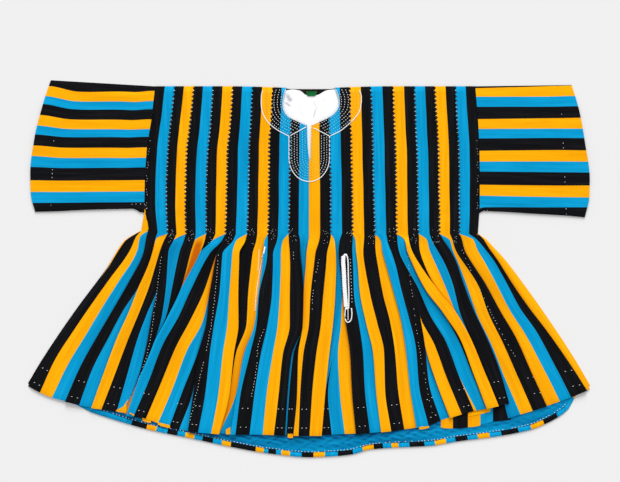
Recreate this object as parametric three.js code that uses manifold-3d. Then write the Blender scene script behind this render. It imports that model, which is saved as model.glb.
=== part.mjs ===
// A fugu smock of striped handwoven cotton strips, laid flat on a table with its front up.
// Millimetres. +Z is up, +X is to the right and +Y towards the neck, seen from above.
// The back lies on the table, the linings lie on the back, and the front lies on them.
import * as THREE from "three";
import { mergeVertices } from "three/addons/utils/BufferGeometryUtils.js";
import Module from "manifold-3d";

const wasm = await Module();
wasm.setup();

// Cloth and how the layers lie on each other
const CLOTH = 1.5;
const LINING = 1.0;
const SEAM_GAP = 0.3;
const LINING_UNDERSIDE = CLOTH + SEAM_GAP;
const LINING_TOP = LINING_UNDERSIDE + LINING;
const FRONT_UNDERSIDE = LINING_TOP + SEAM_GAP;
const EDGE_UNDERSIDE = CLOTH + SEAM_GAP;
const EDGE_ROLL = 14;

// Body, from the waist seam up to the shoulder fold
const WAIST_Y = 86;
const SHOULDER_Y = 448;
const SHOULDER_DIP = 4.5;
const SHOULDER_DIP_REACH = 200;
const BODY_SIDES = [
  { y: WAIST_Y, left: -411, right: 414 },
  { y: 143, left: -409, right: 415 },
  { y: 229, left: -404, right: 415 },
  { y: 298, left: -397, right: 414 },
  { y: 365, left: -386, right: 410 },
  { y: SHOULDER_Y, left: -377, right: 404 },
];
const TUCKS_EACH_SIDE = 8;
const TUCK_RISE = 1.4;
const TUCK_EDGE = 2.5;
const TUCK_MIDDLE_RISE = 0.4;
const BODY_PUFF = 1.2;
const BODY_PUFF_REACH = 60;
const BODY_ROW_STEP = 45;

// Sleeves, flattened tubes with open cuffs. Each cuff is listed from the top edge down.
const UNDERARM_Y = 144;
const SLEEVE_PUFF = 1.4;
const SLEEVE_PUFF_SPAN = { armhole: 0.15, cuff: 0.9 };
const SLEEVE_EDGE_ROUNDNESS = 0.35;
const SLEEVE_HOLLOW_INSET = 0.02;
const SLEEVE_STEPS_LONG = 6;
const SLEEVE_STEPS_DEEP = 14;
const SLEEVES = [
  {
    name: "sleeve_left",
    side: -1,
    cuff: [
      { x: -633, y: 463 },
      { x: -653, y: 400 },
      { x: -673, y: 318 },
      { x: -683, y: 235 },
      { x: -682, y: 186 },
      { x: -671, y: 140 },
    ],
  },
  {
    name: "sleeve_right",
    side: 1,
    cuff: [
      { x: 644, y: 451 },
      { x: 663, y: 385 },
      { x: 677, y: 305 },
      { x: 688, y: 220 },
      { x: 687, y: 176 },
      { x: 676, y: 130 },
    ],
  },
];

// Neck: a round hole with a short slit down the middle of the front
const NECK_LEFT = -56;
const NECK_RIGHT = 64;
const NECK_TOP_Y = 441;
const NECK_LEFT_CURVE = { bulge: { x: -70, y: 399 }, turn: { x: -64, y: 375 }, end: { x: -33, y: 365 } };
const NECK_RIGHT_CURVE = { bulge: { x: 82, y: 407 }, turn: { x: 74, y: 383 }, end: { x: 40, y: 368 } };
const SLIT_TOP_Y = 352;
const SLIT_BOTTOM_Y = 262;
const SLIT_HALF_WIDTH = 4.5;
const BACK_NECK_REACH = 14;

const LINING_HALF_WIDTH = 88;
const LINING_SHOULDER_Y = 428;
const LINING_SIDE_Y = 310;
const LINING_BOTTOM_Y = 246;
const LINING_NECK_INSET = { side: 2, top: 1 };
const LABEL = { x: 7.5, y: 430, width: 30, height: 12, thickness: 0.6 };

// Skirt. flare says how far a fold has run from its waist place to its hem place.
const FLARE = [
  { down: 0, out: 0 },
  { down: 0.066, out: 0.16 },
  { down: 0.234, out: 0.31 },
  { down: 0.51, out: 0.58 },
  { down: 0.835, out: 0.87 },
  { down: 1, out: 1 },
];
const FRONT_ROWS_DOWN = [0, 0.03, 0.08, 0.17, 0.3, 0.45, 0.6, 0.75, 0.88, 1];
const SKIRT_WAIST = { left: -411, right: 414 };
const SKIRT_HEM = { left: -689, right: 689 };
const FRONT_HEM = [
  { x: -689, y: -284 },
  { x: -512, y: -336 },
  { x: -390, y: -369 },
  { x: -289, y: -399 },
  { x: -235, y: -407 },
  { x: 0, y: -407 },
  { x: 191, y: -400 },
  { x: 323, y: -390 },
  { x: 488, y: -365 },
  { x: 570, y: -340 },
  { x: 632, y: -318 },
  { x: 689, y: -294 },
];
const BACK_HEM = [
  { x: -689, y: -285 },
  { x: -610, y: -319 },
  { x: -492, y: -365 },
  { x: -375, y: -386 },
  { x: -257, y: -417 },
  { x: -120, y: -446 },
  { x: 0, y: -461 },
  { x: 76, y: -458 },
  { x: 135, y: -440 },
  { x: 213, y: -437 },
  { x: 370, y: -420 },
  { x: 527, y: -394 },
  { x: 605, y: -360 },
  { x: 689, y: -295 },
];

// One row for each released tuck of the front skirt: where its folded edge starts at the
// waist, where it ends at the hem, and how high it stands there.
const FOLDS = [
  { waist: -377, hem: -605, waistRise: 3.5, hemRise: 2.0 },
  { waist: -349, hem: -537, waistRise: 5.5, hemRise: 2.5 },
  { waist: -303, hem: -470, waistRise: 5.0, hemRise: 2.5 },
  { waist: -251, hem: -441, waistRise: 5.5, hemRise: 3.0 },
  { waist: -205, hem: -402, waistRise: 7.0, hemRise: 4.0 },
  { waist: -176, hem: -301, waistRise: 5.5, hemRise: 4.0 },
  { waist: -151, hem: -243, waistRise: 6.0, hemRise: 3.0 },
  { waist: -102, hem: -194, waistRise: 6.5, hemRise: 4.5 },
  { waist: -50, hem: -115, waistRise: 6.0, hemRise: 3.5 },
  { waist: 0, hem: -34, waistRise: 6.0, hemRise: 5.0 },
  { waist: 53, hem: 32, waistRise: 6.0, hemRise: 4.0 },
  { waist: 107, hem: 154, waistRise: 5.5, hemRise: 3.0 },
  { waist: 159, hem: 240, waistRise: 6.0, hemRise: 3.0 },
  { waist: 213, hem: 323, waistRise: 6.5, hemRise: 4.0 },
  { waist: 268, hem: 412, waistRise: 7.0, hemRise: 3.0 },
  { waist: 320, hem: 485, waistRise: 7.0, hemRise: 5.0 },
  { waist: 370, hem: 589, waistRise: 5.0, hemRise: 2.5 },
];
const FOLD_EDGE_RUN = 5;
const GATHER_DOWN = 0.12;
const GATHERED_SHARE = 0.35;
const FOLD_LIFT_SHARE = 0.5;
const FOLD_PROFILE = [
  { across: 0, height: 0 },
  { across: 0.4, height: 0.3 },
  { across: 0.75, height: 0.75 },
  { across: 1, height: 1 },
];

// Pocket slits below the waist, which lie almost closed
const POCKET_SLITS = [
  { x: -119, y: 8, turn: -0.1 },
  { x: 91, y: 8, turn: 0.05 },
];
const POCKET_SLIT = { width: 3, length: 44 };

// Back hem: the outer cloth is turned up over a plain facing band
const TURN_UP = 10;
const TURN_UP_SLOPE = 1.5;
const FACING_DEPTH = 82;
const FACING_CLEARANCE = 0.5;
const FACING = { left: -585, right: 650 };
const FACING_END_RUN = 20;
const BACK_COLUMNS = 44;
const BACK_ROWS_ABOVE_HEM = [100, 200, 290, 340];

const CUTTER_HEIGHT = 60;

const COLOURS = { black: 0x151518, blue: 0x00a2d7, yellow: 0xffb400, white: 0xf2f2f0, green: 0x146e32 };

const lerp = THREE.MathUtils.lerp;
const smooth = (t) => THREE.MathUtils.smoothstep(t, 0, 1);

/** Straight-line lookup of one column of a short table whose key column rises or falls. */
function lookUp(rows, key, column, at) {
  const rising = rows[rows.length - 1][key] > rows[0][key];
  const ordered = rising ? rows : [...rows].reverse();
  if (at <= ordered[0][key]) return ordered[0][column];
  for (let i = 1; i < ordered.length; i += 1) {
    const a = ordered[i - 1];
    const b = ordered[i];
    if (at <= b[key]) return lerp(a[column], b[column], (at - a[key]) / (b[key] - a[key]));
  }
  return ordered[ordered.length - 1][column];
}

/** Closed wall between two grids of points, outer over inner. A loop joins its last column to its first. */
function closedWall(outer, inner, loop = false) {
  const rows = outer.length;
  const columns = outer[0].length;
  const positions = [...outer.flat(), ...inner.flat()].flatMap((p) => [p.x, p.y, p.z]);
  const innerStart = rows * columns;
  const at = (row, column) => row * columns + (column % columns);
  const index = [];
  const quad = (a, b, c, d) => index.push(a, b, c, a, c, d);
  const lastColumn = loop ? columns : columns - 1;
  for (let row = 0; row < rows - 1; row += 1) {
    for (let column = 0; column < lastColumn; column += 1) {
      const corners = [at(row, column), at(row, column + 1), at(row + 1, column + 1), at(row + 1, column)];
      quad(...corners);
      quad(...corners.map((corner) => corner + innerStart).reverse());
    }
    if (!loop) {
      quad(at(row + 1, 0), at(row + 1, 0) + innerStart, at(row, 0) + innerStart, at(row, 0));
      quad(at(row, columns - 1), at(row, columns - 1) + innerStart,
        at(row + 1, columns - 1) + innerStart, at(row + 1, columns - 1));
    }
  }
  for (let column = 0; column < lastColumn; column += 1) {
    quad(at(0, column), at(0, column) + innerStart, at(0, column + 1) + innerStart, at(0, column + 1));
    quad(at(rows - 1, column + 1), at(rows - 1, column + 1) + innerStart,
      at(rows - 1, column) + innerStart, at(rows - 1, column));
  }
  const geometry = new THREE.BufferGeometry();
  geometry.setAttribute("position", new THREE.Float32BufferAttribute(positions, 3));
  geometry.setIndex(index);
  return facingOut(geometry);
}

/** Turns every face round where the closed body is inside out. */
function facingOut(geometry) {
  const p = geometry.attributes.position;
  const index = geometry.index.array;
  const corner = (k) => new THREE.Vector3().fromBufferAttribute(p, index[k]);
  let volume = 0;
  for (let k = 0; k < index.length; k += 3) {
    volume += corner(k).dot(corner(k + 1).cross(corner(k + 2)));
  }
  if (volume < 0) {
    for (let k = 0; k < index.length; k += 3) {
      [index[k], index[k + 2]] = [index[k + 2], index[k]];
    }
  }
  return geometry;
}

function toSolid(geometry) {
  const bare = geometry.clone();
  bare.deleteAttribute("normal");
  bare.deleteAttribute("uv");
  const merged = mergeVertices(bare);
  return new wasm.Manifold(new wasm.Mesh({
    numProp: 3,
    vertProperties: merged.attributes.position.array,
    triVerts: new Uint32Array(merged.index.array),
  }));
}

function toGeometry(solid) {
  const mesh = solid.getMesh();
  const geometry = new THREE.BufferGeometry();
  geometry.setAttribute("position", new THREE.BufferAttribute(mesh.vertProperties, 3));
  geometry.setIndex(new THREE.BufferAttribute(mesh.triVerts, 1));
  return geometry;
}

/** Cuts a flat outline, as deep as the whole garment, out of a wall. */
function cutThrough(geometry, ...outlines) {
  let solid = toSolid(geometry);
  for (const outline of outlines) {
    const cutter = new THREE.ExtrudeGeometry(outline, { depth: CUTTER_HEIGHT, bevelEnabled: false, curveSegments: 8 });
    cutter.translate(0, 0, -CUTTER_HEIGHT / 2);
    solid = solid.subtract(toSolid(cutter));
  }
  return toGeometry(solid);
}

/** Flat plate of one thickness from an outline. */
function plate(outline, underside, thickness) {
  const geometry = new THREE.ExtrudeGeometry(outline, { depth: thickness, bevelEnabled: false, curveSegments: 8 });
  geometry.translate(0, 0, underside);
  return geometry;
}

function striped(name, geometry, colour) {
  const material = new THREE.MeshStandardMaterial({ color: colour, roughness: 0.9, metalness: 0 });
  const mesh = new THREE.Mesh(geometry, material);
  mesh.name = name;
  return mesh;
}

// Body panels

function bodySide(side, y) {
  return lookUp(BODY_SIDES, "y", side < 0 ? "left" : "right", y);
}

function shoulderY(x) {
  return SHOULDER_Y - SHOULDER_DIP * smooth(1 - Math.abs(x) / SHOULDER_DIP_REACH);
}

/** Height of the front's underside: on the linings inside, and rolled down to the back at the edge. */
function frontUnderside(fromEdge) {
  return lerp(EDGE_UNDERSIDE, FRONT_UNDERSIDE, smooth(fromEdge / EDGE_ROLL));
}

/** Places across one half of the front: each tuck rises towards its stitched edge and steps down there. */
function tuckColumns(side) {
  const columns = [];
  for (let tuck = 0; tuck < TUCKS_EACH_SIDE; tuck += 1) {
    columns.push({ tucks: tuck, inset: SEAM_GAP / 2, rise: 1 });
    columns.push({ tucks: tuck, inset: TUCK_EDGE, rise: 1 });
    columns.push({ tucks: tuck + 0.5, inset: 0, rise: TUCK_MIDDLE_RISE });
    columns.push({ tucks: tuck + 1, inset: -TUCK_EDGE, rise: 0 });
  }
  columns.push({ tucks: TUCKS_EACH_SIDE, inset: 0, rise: 0 });
  return side < 0 ? columns.reverse() : columns;
}

/** Heights of the rows of the front: even steps up to the shoulder's roll, then the shoulder itself. */
function frontRows() {
  const rollY = SHOULDER_Y - EDGE_ROLL;
  const steps = Math.ceil((rollY - WAIST_Y) / BODY_ROW_STEP);
  const even = Array.from({ length: steps + 1 }, (_, i) => lerp(WAIST_Y, rollY, i / steps));
  return [...even, SHOULDER_Y];
}

function frontHalf(side) {
  const columns = tuckColumns(side);
  const outer = [];
  const inner = [];
  for (const rowY of frontRows()) {
    const top = [];
    const under = [];
    for (const column of columns) {
      const edge = bodySide(side, rowY);
      const x = (edge * column.tucks) / TUCKS_EACH_SIDE + side * column.inset;
      const y = Math.min(rowY, shoulderY(x));
      const fromEdge = Math.min(Math.abs(edge - x), shoulderY(x) - y);
      const puff = BODY_PUFF * smooth(fromEdge / BODY_PUFF_REACH) * smooth((y - WAIST_Y) / BODY_PUFF_REACH);
      const underside = frontUnderside(fromEdge) + puff;
      const rise = TUCK_RISE * column.rise * smooth(fromEdge / EDGE_ROLL);
      under.push(new THREE.Vector3(x, y, underside));
      top.push(new THREE.Vector3(x, y, underside + CLOTH + rise));
    }
    outer.push(top);
    inner.push(under);
  }
  return cutThrough(closedWall(outer, inner), neckOutline());
}

/** The neck hole's outline, which runs on above the shoulder, with the slit below it. */
function neckOutline() {
  const outline = new THREE.Shape();
  outline.moveTo(NECK_LEFT, SHOULDER_Y + EDGE_ROLL);
  outline.lineTo(NECK_LEFT, NECK_TOP_Y);
  const left = NECK_LEFT_CURVE;
  outline.bezierCurveTo(left.bulge.x, left.bulge.y, left.turn.x, left.turn.y, left.end.x, left.end.y);
  outline.lineTo(-SLIT_HALF_WIDTH, SLIT_TOP_Y);
  outline.lineTo(-SLIT_HALF_WIDTH, SLIT_BOTTOM_Y);
  outline.lineTo(SLIT_HALF_WIDTH, SLIT_BOTTOM_Y);
  outline.lineTo(SLIT_HALF_WIDTH, SLIT_TOP_Y);
  const right = NECK_RIGHT_CURVE;
  outline.lineTo(right.end.x, right.end.y);
  outline.bezierCurveTo(right.turn.x, right.turn.y, right.bulge.x, right.bulge.y, NECK_RIGHT, NECK_TOP_Y);
  outline.lineTo(NECK_RIGHT, SHOULDER_Y + EDGE_ROLL);
  return outline;
}

function bodyBack() {
  const outline = new THREE.Shape();
  outline.moveTo(SKIRT_WAIST.left, WAIST_Y);
  outline.lineTo(SKIRT_WAIST.right, WAIST_Y);
  BODY_SIDES.slice(1).forEach((row) => outline.lineTo(row.right, row.y));
  outline.lineTo(SHOULDER_DIP_REACH, shoulderY(SHOULDER_DIP_REACH));
  outline.lineTo(NECK_RIGHT + BACK_NECK_REACH, shoulderY(NECK_RIGHT));
  outline.quadraticCurveTo(NECK_RIGHT, NECK_TOP_Y, NECK_RIGHT - BACK_NECK_REACH, NECK_TOP_Y);
  outline.lineTo(NECK_LEFT + BACK_NECK_REACH, NECK_TOP_Y);
  outline.quadraticCurveTo(NECK_LEFT, NECK_TOP_Y, NECK_LEFT - BACK_NECK_REACH, shoulderY(NECK_LEFT));
  outline.lineTo(-SHOULDER_DIP_REACH, shoulderY(-SHOULDER_DIP_REACH));
  BODY_SIDES.slice(1).reverse().forEach((row) => outline.lineTo(row.left, row.y));
  return plate(outline, 0, CLOTH);
}

function neckLining() {
  const outline = new THREE.Shape();
  const top = NECK_TOP_Y - LINING_NECK_INSET.top;
  const left = NECK_LEFT + LINING_NECK_INSET.side;
  const right = NECK_RIGHT - LINING_NECK_INSET.side;
  outline.moveTo(left, top);
  outline.lineTo(left, LINING_SHOULDER_Y);
  outline.lineTo(-LINING_HALF_WIDTH, LINING_SHOULDER_Y);
  outline.lineTo(-LINING_HALF_WIDTH, LINING_SIDE_Y);
  outline.quadraticCurveTo(-LINING_HALF_WIDTH, LINING_BOTTOM_Y, 0, LINING_BOTTOM_Y);
  outline.quadraticCurveTo(LINING_HALF_WIDTH, LINING_BOTTOM_Y, LINING_HALF_WIDTH, LINING_SIDE_Y);
  outline.lineTo(LINING_HALF_WIDTH, LINING_SHOULDER_Y);
  outline.lineTo(right, LINING_SHOULDER_Y);
  outline.lineTo(right, top);
  return plate(outline, LINING_UNDERSIDE, LINING);
}

function rectangle(width, height, { x, y, turn = 0 }) {
  const corners = [[-1, -1], [1, -1], [1, 1], [-1, 1]].map(([across, up]) => (
    new THREE.Vector2((across * width) / 2, (up * height) / 2)
      .rotateAround(new THREE.Vector2(), turn)
      .add(new THREE.Vector2(x, y))
  ));
  return new THREE.Shape(corners);
}

function neckLabel() {
  return plate(rectangle(LABEL.width, LABEL.height, LABEL), FRONT_UNDERSIDE, LABEL.thickness);
}

// Sleeves

/** Ring round a flattened sleeve at one place along it: over the top, then back underneath. */
function sleeveRing(top, bottom, curveX, height, underside) {
  const ring = [];
  for (let i = 0; i <= SLEEVE_STEPS_DEEP; i += 1) {
    const down = i / SLEEVE_STEPS_DEEP;
    const roundness = Math.sin(Math.PI * down) ** SLEEVE_EDGE_ROUNDNESS;
    ring.push({ x: curveX(down), y: lerp(top, bottom, down), z: underside + height * roundness });
  }
  for (let i = SLEEVE_STEPS_DEEP - 1; i > 0; i -= 1) {
    const down = i / SLEEVE_STEPS_DEEP;
    ring.push({ x: curveX(down), y: lerp(top, bottom, down), z: underside });
  }
  return ring;
}

function sleeve({ side, cuff }) {
  const armTop = SHOULDER_Y;
  const armBottom = UNDERARM_Y;
  const cuffTop = cuff[0].y;
  const cuffBottom = cuff[cuff.length - 1].y;
  const armX = (down) => bodySide(side, lerp(armTop, armBottom, down)) + side * SEAM_GAP;
  const cuffX = (down) => lookUp(cuff, "y", "x", lerp(cuffTop, cuffBottom, down));
  const outer = [];
  const inner = [];
  for (let i = 0; i <= SLEEVE_STEPS_LONG; i += 1) {
    const along = i / SLEEVE_STEPS_LONG;
    const top = lerp(armTop, cuffTop, along);
    const bottom = lerp(armBottom, cuffBottom, along);
    const curveX = (down) => lerp(armX(down), cuffX(down), along);
    const puffed = Math.sin(Math.PI * lerp(SLEEVE_PUFF_SPAN.armhole, SLEEVE_PUFF_SPAN.cuff, along));
    const hollow = FRONT_UNDERSIDE - CLOTH + SLEEVE_PUFF * puffed;
    const innerCurveX = (down) => curveX(lerp(SLEEVE_HOLLOW_INSET, 1 - SLEEVE_HOLLOW_INSET, down));
    outer.push(sleeveRing(top, bottom, curveX, hollow + 2 * CLOTH, 0));
    inner.push(sleeveRing(top - CLOTH, bottom + CLOTH, innerCurveX, hollow, CLOTH));
  }
  return closedWall(outer, inner, true);
}

// Skirt

/** Place on the laid-out skirt of a line that starts at one place of the waist and ends at one of the hem. */
function skirtPlace(waistX, hemX, hem, down) {
  const x = lerp(waistX, hemX, lookUp(FLARE, "down", "out", down));
  const y = lerp(WAIST_Y - SEAM_GAP, lookUp(hem, "x", "y", hemX), down);
  return { x, y };
}

/** Columns of the front skirt, from left to right: the profile of each fold between two folded edges. */
function foldColumns() {
  const left = { waist: SKIRT_WAIST.left, hem: SKIRT_HEM.left, waistRise: 0, hemRise: 0 };
  const right = { waist: SKIRT_WAIST.right, hem: SKIRT_HEM.right, waistRise: 0, hemRise: 0 };
  const lines = [left, ...FOLDS, right];
  const columns = [];
  for (let i = 1; i < lines.length; i += 1) {
    const [from, to] = [lines[i - 1], lines[i]];
    const leftHalf = to.waist <= 0;
    const crest = leftHalf ? from : to;
    const profile = leftHalf
      ? FOLD_PROFILE.map(({ across, height }) => ({ across: 1 - across, height })).reverse()
      : FOLD_PROFILE;
    for (const { across, height } of profile) {
      const shift = (0.5 - across) * FOLD_EDGE_RUN;
      const outermost = (across === 0 && i === 1) || (across === 1 && i === lines.length - 1);
      columns.push({
        waist: lerp(from.waist, to.waist, across) + (outermost ? 0 : shift),
        hem: lerp(from.hem, to.hem, across) + (outermost ? 0 : shift),
        waistRise: crest.waistRise * height,
        hemRise: crest.hemRise * height,
      });
    }
  }
  return columns;
}

function skirtFront() {
  const columns = foldColumns();
  const outer = [];
  const inner = [];
  for (const down of [...FRONT_ROWS_DOWN].reverse()) {
    const top = [];
    const under = [];
    for (const column of columns) {
      const { x, y } = skirtPlace(column.waist, column.hem, FRONT_HEM, down);
      const leftEdge = skirtPlace(SKIRT_WAIST.left, SKIRT_HEM.left, FRONT_HEM, down).x;
      const rightEdge = skirtPlace(SKIRT_WAIST.right, SKIRT_HEM.right, FRONT_HEM, down).x;
      const fromEdge = Math.min(x - leftEdge, rightEdge - x);
      const released = lerp(GATHERED_SHARE, 1, smooth(down / GATHER_DOWN));
      const rise = lerp(column.waistRise, column.hemRise, down) * released;
      const underside = frontUnderside(fromEdge) + rise * FOLD_LIFT_SHARE;
      under.push(new THREE.Vector3(x, y, underside));
      top.push(new THREE.Vector3(x, y, underside + CLOTH + rise * (1 - FOLD_LIFT_SHARE)));
    }
    outer.push(top);
    inner.push(under);
  }
  const slits = POCKET_SLITS.map((slit) => rectangle(POCKET_SLIT.width, POCKET_SLIT.length, slit));
  return cutThrough(closedWall(outer, inner), ...slits);
}

/** Share of the way down the back skirt at a distance above its hem. */
function downAt(hemX, aboveHem) {
  return 1 - aboveHem / (WAIST_Y - lookUp(BACK_HEM, "x", "y", hemX));
}

/** How fully the turned-up edge stands at a place along the hem: it runs out beside the side seams. */
function turnUpShare(hemX) {
  return smooth((hemX - FACING.left) / FACING_END_RUN) * smooth((FACING.right - hemX) / FACING_END_RUN);
}

function backColumns(from, to) {
  const columns = [];
  for (let i = 0; i <= BACK_COLUMNS; i += 1) {
    const hem = lerp(from, to, i / BACK_COLUMNS);
    const across = (hem - SKIRT_HEM.left) / (SKIRT_HEM.right - SKIRT_HEM.left);
    columns.push({ hem, waist: lerp(SKIRT_WAIST.left, SKIRT_WAIST.right, across) });
  }
  return columns;
}

/** Wall over a grid of rows, each a distance above the back hem, or null for the waist. */
function backWall(columns, rows, underside, topHeight) {
  const grid = (height) => rows.map((aboveHem) => columns.map(({ waist, hem }) => {
    const down = aboveHem === null ? 0 : downAt(hem, aboveHem);
    const { x, y } = skirtPlace(waist, hem, BACK_HEM, down);
    return new THREE.Vector3(x, y, height(hem, aboveHem));
  }));
  return closedWall(grid(topHeight), grid(() => underside));
}

function skirtBack() {
  const columns = backColumns(SKIRT_HEM.left, SKIRT_HEM.right);
  const rows = [0, TURN_UP, TURN_UP + TURN_UP_SLOPE, ...BACK_ROWS_ABOVE_HEM, null];
  const topHeight = (hemX, aboveHem) => {
    const turnedUp = aboveHem !== null && aboveHem <= TURN_UP;
    return CLOTH + (turnedUp ? CLOTH * turnUpShare(hemX) : 0);
  };
  return backWall(columns, rows, 0, topHeight);
}

function hemFacing() {
  const columns = backColumns(FACING.left, FACING.right);
  const rows = [TURN_UP + TURN_UP_SLOPE + FACING_CLEARANCE, FACING_DEPTH];
  return backWall(columns, rows, LINING_UNDERSIDE, () => LINING_TOP);
}

const smock = new THREE.Group();
smock.name = "fugu_smock";
smock.add(striped("body_back", bodyBack(), COLOURS.black));
smock.add(striped("body_front_left", frontHalf(-1), COLOURS.blue));
smock.add(striped("body_front_right", frontHalf(1), COLOURS.yellow));
for (const row of SLEEVES) {
  smock.add(striped(row.name, sleeve(row), COLOURS.blue));
}
smock.add(striped("skirt_back", skirtBack(), COLOURS.black));
smock.add(striped("skirt_front", skirtFront(), COLOURS.yellow));
smock.add(striped("hem_facing_back", hemFacing(), COLOURS.blue));
smock.add(striped("neck_lining", neckLining(), COLOURS.white));
smock.add(striped("neck_label", neckLabel(), COLOURS.green));

export default smock;
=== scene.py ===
import math
from collections import namedtuple
from contextlib import contextmanager

import bmesh
import bpy
import numpy as np
from mathutils.bvhtree import BVHTree
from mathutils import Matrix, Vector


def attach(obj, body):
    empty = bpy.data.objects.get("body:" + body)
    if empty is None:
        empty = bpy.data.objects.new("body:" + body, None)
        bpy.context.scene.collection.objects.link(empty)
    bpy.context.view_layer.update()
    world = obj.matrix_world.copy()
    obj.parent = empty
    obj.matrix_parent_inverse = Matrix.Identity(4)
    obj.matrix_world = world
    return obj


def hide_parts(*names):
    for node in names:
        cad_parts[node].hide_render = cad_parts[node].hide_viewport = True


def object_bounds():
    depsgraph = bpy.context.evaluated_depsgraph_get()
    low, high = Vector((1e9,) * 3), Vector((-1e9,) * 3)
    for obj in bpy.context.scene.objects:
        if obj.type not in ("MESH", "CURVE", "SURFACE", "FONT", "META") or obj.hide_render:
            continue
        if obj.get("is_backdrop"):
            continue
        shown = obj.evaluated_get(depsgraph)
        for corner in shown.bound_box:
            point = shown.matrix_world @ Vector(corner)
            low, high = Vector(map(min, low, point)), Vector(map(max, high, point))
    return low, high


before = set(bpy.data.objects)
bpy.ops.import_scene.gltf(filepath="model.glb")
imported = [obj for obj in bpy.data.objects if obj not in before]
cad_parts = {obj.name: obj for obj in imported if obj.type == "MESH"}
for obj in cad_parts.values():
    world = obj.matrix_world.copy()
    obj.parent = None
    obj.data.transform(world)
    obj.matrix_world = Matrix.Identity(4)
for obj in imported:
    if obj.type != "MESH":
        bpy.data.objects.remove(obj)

# A millimetre, and the height from which the cloth's surface is looked up, both in metres
MM = 0.001
RAY_FROM = 0.1
cad_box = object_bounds()

# The photograph: its pixel at the frame's zero, and the width of cloth that one pixel covers
PHOTO_ZERO = (309, 269)
PHOTO_PIXEL = 2.45

# Layers, from the table up
CLOTH = 1.5
CLOTH_SHOWN = 1.1
BACK_SHOWN = 1.4
SEAM_GAP = 0.3
WAIST_GAP = 0.05
LINING_UNDERSIDE = 1.8
LINING_TOP = 2.8
FRONT_UNDERSIDE = 3.1
EDGE_UNDERSIDE = 1.8
EDGE_ROLL = 14
EDGE_DROP = 1.3
EDGE_DROP_RUN = 2.5

# Body: its sides as (height, place across), from the waist seam to the shoulder fold
WAIST_Y = 86
SHOULDER_Y = 448
SHOULDER_DIP = 4.5
SHOULDER_DIP_REACH = 200
BODY_LEFT = ((86, -411), (143, -403.5), (229, -402), (298, -397), (365, -386), (448, -377))
BODY_RIGHT = ((86, 414), (143, 418), (229, 418.5), (298, 417.5), (365, 414), (448, 407.5))
TUCKS = 8
COLOURED_SHARE = 0.505

# Places of the stitched seams, counted outwards from the middle, at heights up the front
LEFT_SEAMS = {
    86: (50.2, 100.9, 152.0, 205.5, 252.2, 301.8, 346.7, 394.0),
    169: (48.8, 98.5, 149.2, 202.6, 252.1, 303.3, 350.4, 403.0),
    292: (46.5, 98.0, 147.2, 199.7, 248.5, 299.6, 346.0, 396.5),
    340: (46.0, 96.0, 144.3, 194.8, 243.3, 293.3, 341.3, 390.0),
    390: (45.5, 92.0, 141.5, 190.6, 239.0, 287.8, 335.8, 384.0),
    448: (45.0, 88.5, 139.5, 188.0, 235.5, 282.5, 329.5, 376.0),
}
RIGHT_SEAMS = {
    86: (53.7, 107.3, 162.2, 215.3, 268.9, 320.3, 369.0, 414.0),
    169: (53.7, 106.1, 159.5, 214.4, 266.8, 319.0, 368.9, 415.0),
    292: (51.0, 104.2, 157.0, 212.2, 265.3, 317.5, 367.5, 414.0),
    340: (50.5, 103.4, 155.8, 210.5, 262.7, 314.8, 364.5, 411.7),
    390: (50.2, 101.5, 154.2, 208.2, 261.0, 311.6, 362.0, 408.4),
    448: (50.0, 100.0, 152.0, 207.0, 258.5, 308.5, 359.5, 404.0),
}

# Shape of a tuck: its height, how it falls away, the edge of its folded lip, and its wavering
TUCK_LIFT = 2.2
TUCK_FALL = 1.2
TUCK_LIP = 1.6
SeamWave = namedtuple("SeamWave", "width length shift")
SEAM_WAVES = (SeamWave(0.7, 41, 1.9), SeamWave(0.4, 17, 1))
TUCK_WAVER_RUN = 30
BODY_PUFF = 1.2
BODY_PUFF_REACH = 60

# The teeth along each tuck: their number, the grid rows of each, and how far they point inwards
STITCHES = 35
STITCH_PITCH = (SHOULDER_Y - WAIST_Y) / STITCHES
STITCH_ROWS = 4
STITCH_POINT = 2.4

# The coloured cloth of each tuck, from the middle outwards, and the strips at the left side
LEFT_TUCK_CLOTH = "BBYBYBYB"
RIGHT_TUCK_CLOTH = "YBYBYBYB"
BODY_SIDE_STRIP = "Y"
ARMHOLE_STRIP = "K"
SIDE_STRIP_SHARES = (0, 0.5, 1)

# Sleeves: the cuff line as (height, place across), from its lower edge up
UNDERARM_Y = 144
LEFT_CUFF = ((140, -671), (186, -682), (235, -683), (318, -673), (400, -653), (463, -633))
RIGHT_CUFF = ((130, 676), (176, 687), (220, 688), (305, 677), (385, 663), (451, 644))
SLEEVE_STRIPES = "KYBKYBKYBKYBK"

# Places where the sleeve's stripes start, from the upper fold down, and where the last one ends
LEFT_SLEEVE_AT = {
    "armhole": (0, 4.6, 14.6, 22.6, 32.6, 42.1, 49.6, 60.1, 70.1, 79.6, 92.1, 103.1, 113.6, 121.6),
    "cuff": (0, 6, 16, 24, 35, 45.5, 54.5, 65.5, 76, 87, 100.5, 112, 123, 132),
}
RIGHT_SLEEVE_AT = {
    "armhole": (0, 2, 10.7, 21, 33.7, 43.7, 53.4, 66, 77, 87.2, 100.7, 111.8, 123.3, 126.7),
    "cuff": (0, 0.4, 10.9, 21.2, 32.8, 43.7, 53.1, 65.4, 76.7, 87.6, 100.6, 112.5, 122.3, 131),
}

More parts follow.
